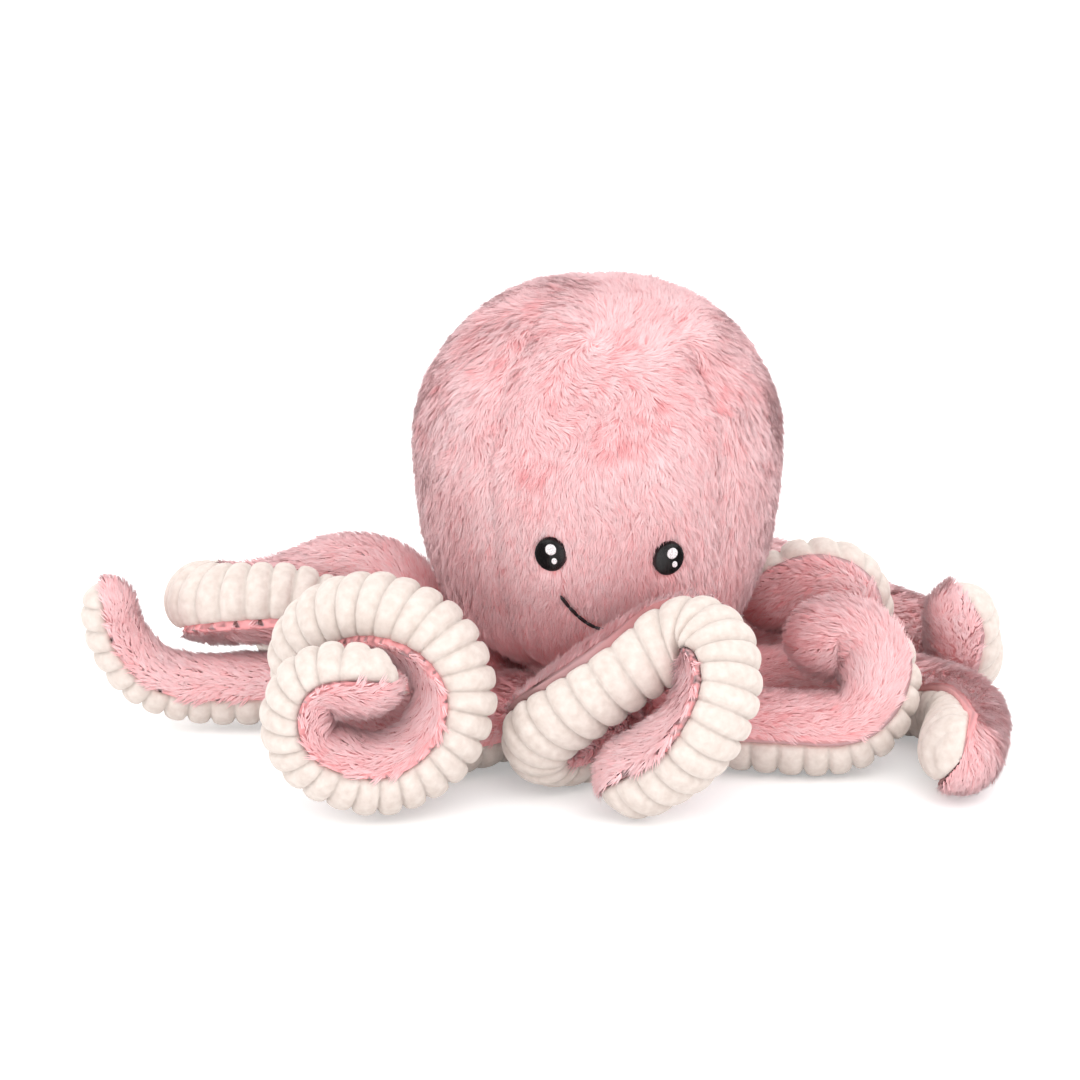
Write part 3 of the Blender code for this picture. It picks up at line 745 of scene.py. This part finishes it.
def build_eyes(black, white):
    for side, name in ((-1, "eye_left"), (1, "eye_right")):
        place, out, right = face_frame(side * EYE_SPACING / 2, EYE_HEIGHT)
        up = out.cross(right)
        leaning = right * math.cos(EYE_LEAN) - up * side * math.sin(EYE_LEAN)
        satin_patch(name + "_satin", place - out * EYE_SINK, out, leaning, EYE_WIDTH, EYE_TALL,
                    EYE_THICK, EYE_FOOT, black, name)
        for extra, across, high, wide, tall in GLINTS:
            spot = place + right * across + up * high + out * GLINT_HEIGHT
            node = name + "_glint" if not extra else None
            satin_patch(name + extra + "_glint_satin", spot, out, right, wide, tall,
                        GLINT_THICK, GLINT_THICK, white, node)


def build_mouth(black):
    form = bmesh.new()
    path = [mouth_point(share) for share in np.linspace(-1, 1, STITCHES + 1)]
    for (start, out, _), (end, out_end, _) in zip(path, path[1:]):
        along = (end - start) * STITCH_OVERLAP
        middle = (start + end) / 2 - (out + out_end) / 2 * STITCH_WIDTH * STITCH_SINK_SHARE
        made = bmesh.ops.create_uvsphere(form, u_segments=STITCH_SIDES,
                                         v_segments=STITCH_RINGS, radius=0.5)["verts"]
        turn = along.to_track_quat("Z", "Y").to_matrix()
        for vert in made:
            x, y, z = vert.co
            plump = (1 - (2 * abs(z)) ** STITCH_ROUNDING) ** 0.5
            plump = plump / max((1 - 4 * z * z) ** 0.5, 1e-3)
            wide = min(plump, STITCH_END_LIMIT) * STITCH_WIDTH
            vert.co = turn @ Vector((x * wide, y * wide, z * along.length)) + middle
    smile = show("smile_stitches", smooth_mesh("smile_stitches", form), black)
    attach(smile, "body")
    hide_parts("mouth")


black_thread = thread_material("satin_black", THREAD_BLACK, roughness=0.30)
white_thread = thread_material("satin_white", THREAD_WHITE, roughness=0.5)
build_eyes(black_thread, white_thread)
build_mouth(black_thread)


# The arms. Each is a tapering sleeve of plush, brushed towards its tip, sewn along both edges
# to a cream strip of short velvety cloth that is stuffed in channels, so that its ribs stand
# up like fingers. The stuffed arm is then curled by hand.
ARM_WIDTH = 0.040
ARM_TAPER_SHARES = ((0, 0.97), (6, 0.97), (9, 0.80), (10, 0.68))
RING_RADIUS = 0.053308
ROOT_HEIGHT = 0.0227
ARM_EASING = 24
SQUASH = 1.36
RIB_PITCH = 0.0116
RIB_STEPS = 8
TIP_STEPS = 20
RIB_STAND = 0.0052
RIB_GROOVE_SHARE = 0.30
RIB_ROUNDING = 2.4
RIB_END_ROUNDING = 5
RIB_PLUMP_SPREAD = 0.05
RIB_LEAN_SPREAD = 0.10
SPARE_RIBS = 4
SEAM_DEGREES = 80
UNDERSIDE_COLUMNS = 30
COVER_COLUMNS = 30
ARC_SHARE = 0.8
ARM_PILE = 0.0058
ARM_PILE_DEPTH = 0.0028
ARM_TUFTS_TO_MM2 = 2.0
ARM_LEAN = math.radians(62)
ARM_HEM_SHARE = 0.45
ARM_HEM_REACH = 0.004
ARM_HEM_COMB = 0.8
ARM_HEM_START = -0.375
ARM_HEM_SLOPE = 1.6
# The arms' pink is deepened by a painted shade within this radius of the middle, fading over this
# reach.
ARM_ROOT_PAINTED_SHADE = 0.34
ARM_SHADE_RADIUS = 0.135
ARM_SHADE_REACH = 0.06
STROKED_DOWN = ("arm_right",)
STROKE = 2.2
STROKE_START = 0.375
STROKE_SLOPE = 1.6
UNDERSIDE_SEED = 40
COVER_SEED = 60
# The cream cloth's shades, then the routes. A route's rows are the arm's middle as it was curled
# by hand, in widths of the arm, and the way its belly faces there.
MINKY_SHADES = ((0.30, (0.62, 0.530, 0.480)), (0.70, (0.73, 0.650, 0.600)))
FRONT_SHARES = (
    (-0.08, -1.66, 0.52, -0.10, -0.20, -1.00),
    (-0.32, -1.88, 0.53, -0.45, -0.30, -0.90),
    (-0.56, -2.10, 0.60, -0.70, -0.40, -0.75),
    (-0.60, -2.36, 0.86, -0.62, -0.75, -0.55),
    (-0.34, -2.56, 1.17, -0.20, -1.00, -0.50),
    (0.02, -2.62, 1.46, 0.00, -1.00, -0.42),
    (0.36, -2.62, 1.70, 0.05, -1.00, -0.30),
    (0.68, -2.59, 1.86, 0.00, -0.92, 0.25),
    (0.98, -2.67, 1.96, 0.15, -0.78, 0.60),
    (1.18, -2.89, 1.86, 0.50, -0.50, 0.60),
    (1.21, -3.15, 1.53, 0.78, -0.57, 0.28),
    (1.03, -3.29, 1.13, 0.74, -0.70, 0.00),
    (0.70, -3.12, 0.76, 0.68, -0.68, -0.30),
    (0.42, -2.96, 0.54, 0.62, -0.68, -0.40),
)
FRONT_LEFT_SHARES = (
    (-1.30, -1.28, 0.53, 0.00, 0.00, -1.00),
    (-1.85, -1.55, 0.52, -0.05, 0.00, -1.00),
    (-2.50, -1.60, 0.54, -0.30, -0.10, -1.00),
    (-3.14, -1.75, 1.28, -1.00, -0.20, 0.00),
    (-2.98, -1.98, 1.85, -0.75, -0.45, 0.70),
    (-2.40, -2.25, 2.10, 0.00, -0.62, 1.00),
    (-1.80, -2.45, 1.86, 0.65, -0.50, 0.65),
    (-1.57, -2.62, 1.33, 0.95, -0.32, 0.00),
    (-1.80, -2.80, 0.77, 0.65, -0.32, -0.65),
    (-2.40, -2.95, 0.53, 0.00, -0.32, -0.95),
    (-3.06, -3.03, 0.80, -0.65, -0.30, -0.65),
    (-3.18, -3.09, 1.26, -1.00, -0.20, 0.15),
    (-2.96, -3.16, 1.62, -0.60, 0.00, 0.80),
    (-2.54, -3.20, 1.64, 0.20, 0.10, 1.00),
)
LEFT_SHARES = (
    (-1.76, 0.16, 0.57, -0.10, 0.10, -1.00),
    (-2.02, 0.48, 0.80, -0.35, 0.45, -0.75),
    (-2.14, 0.88, 1.20, -0.35, 0.75, -0.60),
    (-2.42, 1.16, 1.53, -0.20, 0.85, -0.55),
    (-2.98, 1.28, 1.60, -0.10, 0.85, -0.55),
    (-3.55, 1.33, 1.34, -0.10, 0.90, -0.40),
    (-4.05, 1.28, 1.24, -0.35, 0.90, 0.00),
    (-4.42, 1.12, 1.30, -0.75, 0.60, 0.20),
    (-4.56, 0.78, 1.38, -0.95, 0.10, 0.40),
    (-4.40, 0.42, 1.44, -0.60, -0.40, 0.80),
    (-4.02, 0.27, 1.48, 0.00, -0.45, 0.90),
    (-3.52, 0.25, 1.48, 0.20, -0.35, 0.90),
    (-3.18, 0.26, 1.32, 0.70, -0.25, 0.60),
    (-3.04, 0.26, 0.98, 1.00, -0.15, 0.00),
    (-3.18, 0.26, 0.66, 0.70, -0.10, -0.70),
    (-3.52, 0.25, 0.50, 0.15, -0.10, -1.00),
    (-4.05, 0.22, 0.50, 0.00, -0.10, -1.00),
    (-4.62, 0.18, 0.50, -0.10, -0.10, -1.00),
    (-5.16, 0.12, 0.68, -0.60, -0.12, -0.80),
    (-5.48, 0.06, 1.12, -0.95, -0.12, -0.20),
    (-5.56, 0.02, 1.49, -1.00, -0.12, 0.05),
)
BACK_LEFT_SHARES = (
    (-1.22, 1.62, 0.53, 0.00, 0.00, -1.00),
    (-1.45, 2.20, 0.51, 0.00, 0.15, -1.00),
    (-1.88, 2.78, 0.50, 0.05, 0.20, -1.00),
    (-2.50, 3.14, 0.50, -0.10, 0.20, -1.00),
    (-3.14, 3.14, 0.50, -0.20, 0.15, -1.00),
    (-3.58, 2.86, 0.50, -0.30, 0.00, -1.00),
    (-3.70, 2.52, 0.53, -0.30, -0.20, -0.95),
)
BACK_SHARES = (
    (0.08, 1.86, 0.60, 0.00, 0.20, -1.00),
    (0.46, 2.38, 0.90, -0.10, 0.60, -0.80),
    (1.16, 2.78, 1.20, -0.05, 0.80, -0.55),
    (1.98, 2.92, 1.14, 0.20, 0.90, -0.40),
    (2.86, 2.84, 0.82, 0.40, 0.85, -0.55),
    (3.66, 2.46, 0.58, 0.60, 0.60, -0.65),
    (4.20, 1.84, 0.51, 0.75, 0.45, -0.50),
    (4.36, 1.20, 0.56, 0.98, 0.18, -0.25),
    (4.29, 0.78, 0.88, 0.97, 0.28, -0.02),
    (4.24, 0.62, 1.19, 0.90, 0.42, 0.12),
)
BACK_RIGHT_SHARES = (
    (1.48, 1.32, 0.52, 0.05, 0.00, -1.00),
    (2.10, 1.48, 0.50, 0.10, 0.05, -1.00),
    (2.72, 1.38, 0.58, 0.50, 0.15, -0.90),
    (3.06, 1.20, 1.05, 0.90, 0.40, 0.10),
    (2.92, 1.02, 1.50, 0.50, 0.65, 0.65),
    (2.52, 0.92, 1.62, 0.00, 0.75, 0.80),
    (2.18, 0.92, 1.46, -0.50, 0.75, 0.55),
)
RIGHT_SHARES = (
    (1.88, 0.16, 0.53, 0.00, 0.00, -1.00),
    (2.50, 0.26, 0.50, 0.00, -0.10, -1.00),
    (3.20, 0.20, 0.50, -0.10, -0.30, -1.00),
    (3.82, -0.20, 0.50, -0.50, -0.40, -0.80),
    (4.13, -0.84, 0.51, -0.90, -0.05, -0.50),
    (4.08, -1.48, 0.52, -1.00, -0.05, -0.10),
    (3.96, -2.00, 0.53, -0.95, -0.05, 0.25),
    (3.92, -2.26, 0.56, -0.90, -0.05, 0.40),
)
FRONT_RIGHT_SHARES = (
    (1.42, -1.28, 0.53, 0.00, -0.10, -1.00),
    (2.12, -1.42, 0.50, 0.00, -0.20, -1.00),
    (2.72, -1.45, 0.52, 0.20, -0.10, -1.00),
    (3.07, -1.33, 0.82, 0.75, 0.20, -0.60),
    (3.09, -1.04, 1.22, 0.60, 0.70, -0.25),
    (2.83, -0.86, 1.41, 0.30, 0.90, -0.30),
    (2.62, -0.83, 1.41, 0.20, 0.95, -0.30),
)
ARM_ROUTES = (
    ("arm_front", -90, FRONT_SHARES),
    ("arm_front_left", -135, FRONT_LEFT_SHARES),
    ("arm_left", 180, LEFT_SHARES),
    ("arm_back_left", 135, BACK_LEFT_SHARES),
    ("arm_back", 90, BACK_SHARES),
    ("arm_back_right", 45, BACK_RIGHT_SHARES),
    ("arm_right", 0, RIGHT_SHARES),
    ("arm_front_right", -45, FRONT_RIGHT_SHARES),
)


Stations = namedtuple("Stations", "centre heading belly half bend scale rib")


def arm_stations(azimuth, shares):
    """What lies at each station of an arm, with its half width and the ribs counted so far."""
    turn = math.radians(azimuth)
    root = (RING_RADIUS * math.cos(turn), RING_RADIUS * math.sin(turn), ROOT_HEIGHT)
    rows = [(*root, 0, 0, -1)]
    for x, y, z, *belly in shares:
        rows.append((x * ARM_WIDTH, y * ARM_WIDTH, z * ARM_WIDTH, *belly))
    fine = smooth_path(rows, ARM_EASING)
    centre, belly = fine[:, :3], fine[:, 3:]
    heading = unit(np.gradient(centre, axis=0))
    belly = squared(belly, heading)
    half = ARM_WIDTH / 2 * np.interp(running_length(centre) / ARM_WIDTH, *zip(*ARM_TAPER_SHARES))
    bend = np.gradient(heading, axis=0) / np.gradient(running_length(centre))[:, None]
    walked = running_length(centre + belly * half[:, None])
    ribs = round(walked[-1] / RIB_PITCH)
    marks = np.linspace(0, walked[-1], ribs * RIB_STEPS + 1)
    at = [np.column_stack([np.interp(marks, walked, column) for column in values.T])
          for values in (centre, unit(heading), belly, half[:, None], bend)]
    at.append(np.ones((len(marks), 1)))
    at.append(np.linspace(0, ribs, len(marks))[:, None])
    angles = np.linspace(0, math.pi / 2, TIP_STEPS + 1)[1:]
    ends = []
    for end, way in ((0, -1), (-1, 1)):
        middle, ahead, down, wide, curve, _, rib = [values[end] for values in at]
        rows = [(middle + ahead * way * wide * math.sin(angle), ahead, down, wide, curve,
                 [math.cos(angle)], rib + way * wide * angle / RIB_PITCH) for angle in angles]
        ends.append([np.array(column, dtype=float) for column in zip(*rows)])
    joined = [np.concatenate([first[::-1], values, last])
              for first, values, last in zip(ends[0], at, ends[1])]
    joined[1] = unit(joined[1])
    joined[2] = squared(joined[2], joined[1])
    return Stations(*joined)


def pressed(offset, bend):
    """Offsets from the arm's centre, drawn in where the inside of a curl is squashed."""
    crowding = SQUASH * np.maximum(0, np.sum(offset * bend, axis=1, keepdims=True))
    return offset * (1 + crowding ** 4) ** -0.25


def section(stations, index, angle, reach):
    """Points round an arm, at angles counted from its belly and this far from its centre."""
    centre, heading, belly, _, bend, scale, _ = [values[index] for values in stations]
    side = np.cross(heading, belly)
    angle = angle[:, None]
    offset = (belly * np.cos(angle) + side * np.sin(angle)) * reach[:, None] * scale
    return centre + pressed(offset, bend)


def ring_shares(across, first, last):
    """Angles round an arm for the shares across its sheet, and how far back along the chord."""
    angle = first + (last - first) * np.minimum(across / ARC_SHARE, 1)
    back = np.clip((across - ARC_SHARE) / (1 - ARC_SHARE), 0, 1)
    return angle, back


def minky_material():
    """Short velvety cloth: cream, mottled where the pile lies either way."""
    cloth, tree, shader = new_material("short_velvet_cream", roughness=0.95, specular=0.15)
    shader.inputs["Sheen Weight"].default_value = 0.35
    shader.inputs["Sheen Roughness"].default_value = 0.45
    shader.inputs["Sheen Tint"].default_value = (1.0, 0.97, 0.92, 1)
    coloured(tree, shader, speckled(tree, scale=260, detail=5), MINKY_SHADES)
    raised(tree, shader, speckled(tree, scale=1400, detail=3), strength=0.35, height=0.0004)
    return cloth


def build_underside(name, stations, cloth, seed):
    """The cream strip of an arm, its channels stuffed into ribs with round ends."""
    last = len(stations.half) - 1
    seam = math.radians(SEAM_DEGREES)
    chance = np.random.default_rng(seed)
    counted = stations.rib[:, 0] - stations.rib[0, 0]
    ribs = int(counted[-1]) + SPARE_RIBS
    plump = chance.normal(1, RIB_PLUMP_SPREAD, ribs)
    lean = chance.normal(0, RIB_LEAN_SPREAD, ribs)

    def place(along, across):
        index = np.rint(along * last).astype(int)
        angle, back = ring_shares(across, -seam, seam)
        half, rib = stations.half[index, 0], counted[index]
        which = np.clip(rib.astype(int), 0, ribs - 1)
        rib = rib + lean[which] * np.sin(angle) * np.sin(np.pi * (rib % 1))
        puff = (1 - np.abs(2 * (rib % 1) - 1) ** RIB_ROUNDING) ** 0.5 * plump[which]
        end = (1 - np.clip(np.abs(angle) / seam, 0, 1) ** RIB_END_ROUNDING) ** 0.5
        reach = half - RIB_STAND * (1 - end * (RIB_GROOVE_SHARE + (1 - RIB_GROOVE_SHARE) * puff))
        points = section(stations, index, angle, reach)
        left = section(stations, index, np.full(len(index), -seam), half - RIB_STAND)
        right = section(stations, index, np.full(len(index), seam), half - RIB_STAND)
        chord = right + (left - right) * back[:, None]
        points = np.where(back[:, None] > 0, chord, points)
        points[:, 2] = np.maximum(points[:, 2], GROUND_CLEAR)
        return points, np.zeros(len(points)), stations.heading[index]

    form = laid_grid(last, UNDERSIDE_COLUMNS, place)
    strip = show(name + "_ribs", smooth_mesh(name, form), cloth)
    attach(strip, name)
    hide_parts(name + "_underside")


def arm_root_shade(points):
    """A painted shade that deepens the pink of the arms near the middle of the toy, towards their
    roots.
    """
    away = np.hypot(points[:, 0], points[:, 1])
    return -ARM_ROOT_PAINTED_SHADE * np.clip((ARM_SHADE_RADIUS - away) / ARM_SHADE_REACH, 0, 1)


def build_cover(name, stations, cloth, seed):
    """The plush sleeve of an arm, with its pile brushed towards the tip."""
    last = len(stations.half) - 1
    seam = math.radians(SEAM_DEGREES)

    def place(along, across):
        index = np.rint(along * last).astype(int)
        angle, back = ring_shares(across, seam, 2 * math.pi - seam)
        half = stations.half[index, 0]
        edge = np.minimum(angle - seam, 2 * math.pi - seam - angle) * half
        lifted = (1 - ARM_HEM_SHARE) * np.exp(-(edge / ARM_HEM_REACH) ** 2)
        points = section(stations, index, angle, half - ARM_PILE_DEPTH * (1 - lifted))
        reach = half - ARM_HEM_SHARE * ARM_PILE_DEPTH
        first = section(stations, index, np.full(len(index), seam), reach)
        final = section(stations, index, np.full(len(index), -seam), reach)
        points = np.where(back[:, None] > 0, final + (first - final) * back[:, None], points)
        points[:, 2] = np.maximum(points[:, 2], GROUND_CLEAR)
        hem = np.clip(ARM_HEM_SLOPE * (np.cos(angle) - ARM_HEM_START), 0, 1)
        overhang = ARM_HEM_COMB * hem
        comb = stations.heading[index] + overhang[:, None] * stations.belly[index]
        if name in STROKED_DOWN:
            comb[:, 2] -= STROKE * np.clip(STROKE_SLOPE * (along - STROKE_START), 0, 1)
        return points, np.where(back > 0, 0, 1), comb

    form = laid_grid(last // 2, COVER_COLUMNS, place)
    sheet = bpy.data.meshes.new(name)
    form.to_mesh(sheet)
    pile = grow_pile(sheet, ARM_PILE, ARM_TUFTS_TO_MM2, ARM_LEAN, seed, arm_root_shade)
    bpy.data.meshes.remove(sheet)
    sleeve = furred(name + "_plush", form, pile, cloth)
    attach(sleeve, name)
    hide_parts(name + "_cover")


# The fillings. Loose hollow fibre of white polyester, pushed by hand into the head and each
# arm through a gap in a seam, which is then closed by hand. Each arm is put together here.
FILLING_DEPTH = 0.0085
FILLING_COLUMNS = 16
FILLING_STEPS = 48
FILLING_FOOT = 0.001
DENT_SIZE = 0.009
ARM_DENTS = 0.0012
HEAD_DENTS = 0.002
FIBRE_SHADES = ((0.35, (0.70, 0.70, 0.71)), (0.65, (0.88, 0.88, 0.88)))


def fibre_material():
    """White hollow fibre, tousled into soft clots."""
    fibre, tree, shader = new_material("hollow_fibre", roughness=1)
    shader.inputs["Sheen Weight"].default_value = 0.3
    clots = speckled(tree, scale=320, detail=6)
    clots.inputs["Distortion"].default_value = 1.5
    coloured(tree, shader, clots, FIBRE_SHADES)
    raised(tree, shader, clots, strength=0.6, height=0.001)
    return fibre


def spun(profile, steps):
    """A closed body spun from (radius, height) pairs that start and end on the axis."""
    form = bmesh.new()
    verts = [form.verts.new((radius, 0, height)) for radius, height in profile]
    edges = [form.edges.new(pair) for pair in zip(verts, verts[1:])]
    bmesh.ops.spin(form, geom=verts + edges, axis=(0, 0, 1), angle=2 * math.pi, steps=steps,
                   use_merge=True)
    bmesh.ops.remove_doubles(form, verts=form.verts, dist=1e-6)
    bmesh.ops.recalc_face_normals(form, faces=form.faces)
    return form


def stuffed(name, node, body, form, cloth, dents):
    """A lump of filling, dented all over up to this deep, in the piece that it stuffs."""
    bmesh.ops.recalc_face_normals(form, faces=form.faces)
    form.normal_update()
    for vert in form.verts:
        vert.co -= vert.normal * dents * (0.5 + 0.5 * noise.noise(vert.co / DENT_SIZE))
    lump = show(name, smooth_mesh(name, form), cloth)
    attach(lump, body)
    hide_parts(node)


def build_arm_filling(name, stations, fibre):
    last = len(stations.half) - 1

    def place(along, across):
        index = np.rint(along * last).astype(int)
        reach = stations.half[index, 0] - FILLING_DEPTH
        points = section(stations, index, 2 * math.pi * across, reach)
        return points, np.zeros(len(points)), stations.heading[index]

    form = laid_grid(last // 3, FILLING_COLUMNS, place)
    stuffed(name + "_fibre", name + "_filling", name, form, fibre, ARM_DENTS)


def build_head_filling(fibre):
    path, outward, _ = head_outline()
    profile = [(max(r - wide * FILLING_DEPTH, 0), h - high * FILLING_DEPTH)
               for (r, h), (wide, high) in zip(path[2::4], outward[2::4])]
    profile = [(0, HEAD_FOOT + FILLING_FOOT)] + profile + [(0, HEAD_TOP - FILLING_DEPTH)]
    form = spun(profile, FILLING_STEPS)
    stuffed("head_fibre", "head_filling", "body", form, fibre, HEAD_DENTS)


fibre = fibre_material()
build_head_filling(fibre)
minky = minky_material()
for number, (arm, azimuth, shares) in enumerate(ARM_ROUTES):
    stations = arm_stations(azimuth, shares)
    build_underside(arm, stations, minky, UNDERSIDE_SEED + number)
    build_cover(arm, stations, plush, COVER_SEED + number)
    build_arm_filling(arm, stations, fibre)


# The base. A disc of the same cream cloth over a stiff pad closes the toy underneath, and on it
# lies a bag of plastic pellets between the roots of the arms, so that the toy sits by itself.
BASE_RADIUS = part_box("base_panel")[1].x
BASE_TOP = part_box("base_panel")[1].z
BASE_ROUNDING = 0.0009
BASE_RINGS = 28
BASE_STEPS = 96
POUCH_LOW, POUCH_HIGH = (corner.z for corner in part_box("pellet_pouch"))
POUCH_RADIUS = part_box("pellet_pouch")[1].x
POUCH_END_SHARE = 0.92
POUCH_RINGS = 14
POUCH_STEPS = 64
POUCH_DENTS = 0.0006
CALICO_SHADES = ((0.3, (0.72, 0.36, 0.37)), (0.7, (0.84, 0.47, 0.48)))


def calico_material():
    """Thin cotton, dyed with the plush and drawn tight over the pellets."""
    calico, tree, shader = new_material("calico_bag", roughness=0.9)
    coloured(tree, shader, speckled(tree, scale=1800, detail=2), CALICO_SHADES)
    return calico


def build_base(cloth):
    rings = np.linspace(0, BASE_RADIUS - BASE_ROUNDING, BASE_RINGS)
    turns = np.linspace(-math.pi / 2, math.pi / 2, 9)
    rim = [(BASE_RADIUS - BASE_ROUNDING * (1 - math.cos(turn)),
            BASE_TOP / 2 + (BASE_TOP / 2) * math.sin(turn)) for turn in turns]
    profile = [(radius, 0) for radius in rings[:-1]] + rim
    profile += [(radius, BASE_TOP) for radius in rings[-2::-1]]
    disc = show("base_disc", smooth_mesh("base_disc", spun(profile, BASE_STEPS)), cloth)
    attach(disc, "body")
    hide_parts("base_panel")


def build_pouch(calico):
    middle = (POUCH_LOW + POUCH_HIGH) / 2
    end = POUCH_RADIUS * POUCH_END_SHARE
    side = [(end + (POUCH_RADIUS - end) * (1 - abs(share)), middle + share * (POUCH_HIGH - middle))
            for share in np.linspace(-1, 1, 17)]
    inner = np.linspace(0, end, POUCH_RINGS)[:-1]
    profile = [(r, POUCH_LOW) for r in inner] + side + [(r, POUCH_HIGH) for r in inner[::-1]]
    form = spun(profile, POUCH_STEPS)
    stuffed("pellet_bag", "pellet_pouch", "body", form, calico, POUCH_DENTS)


build_base(minky)
build_pouch(calico_material())
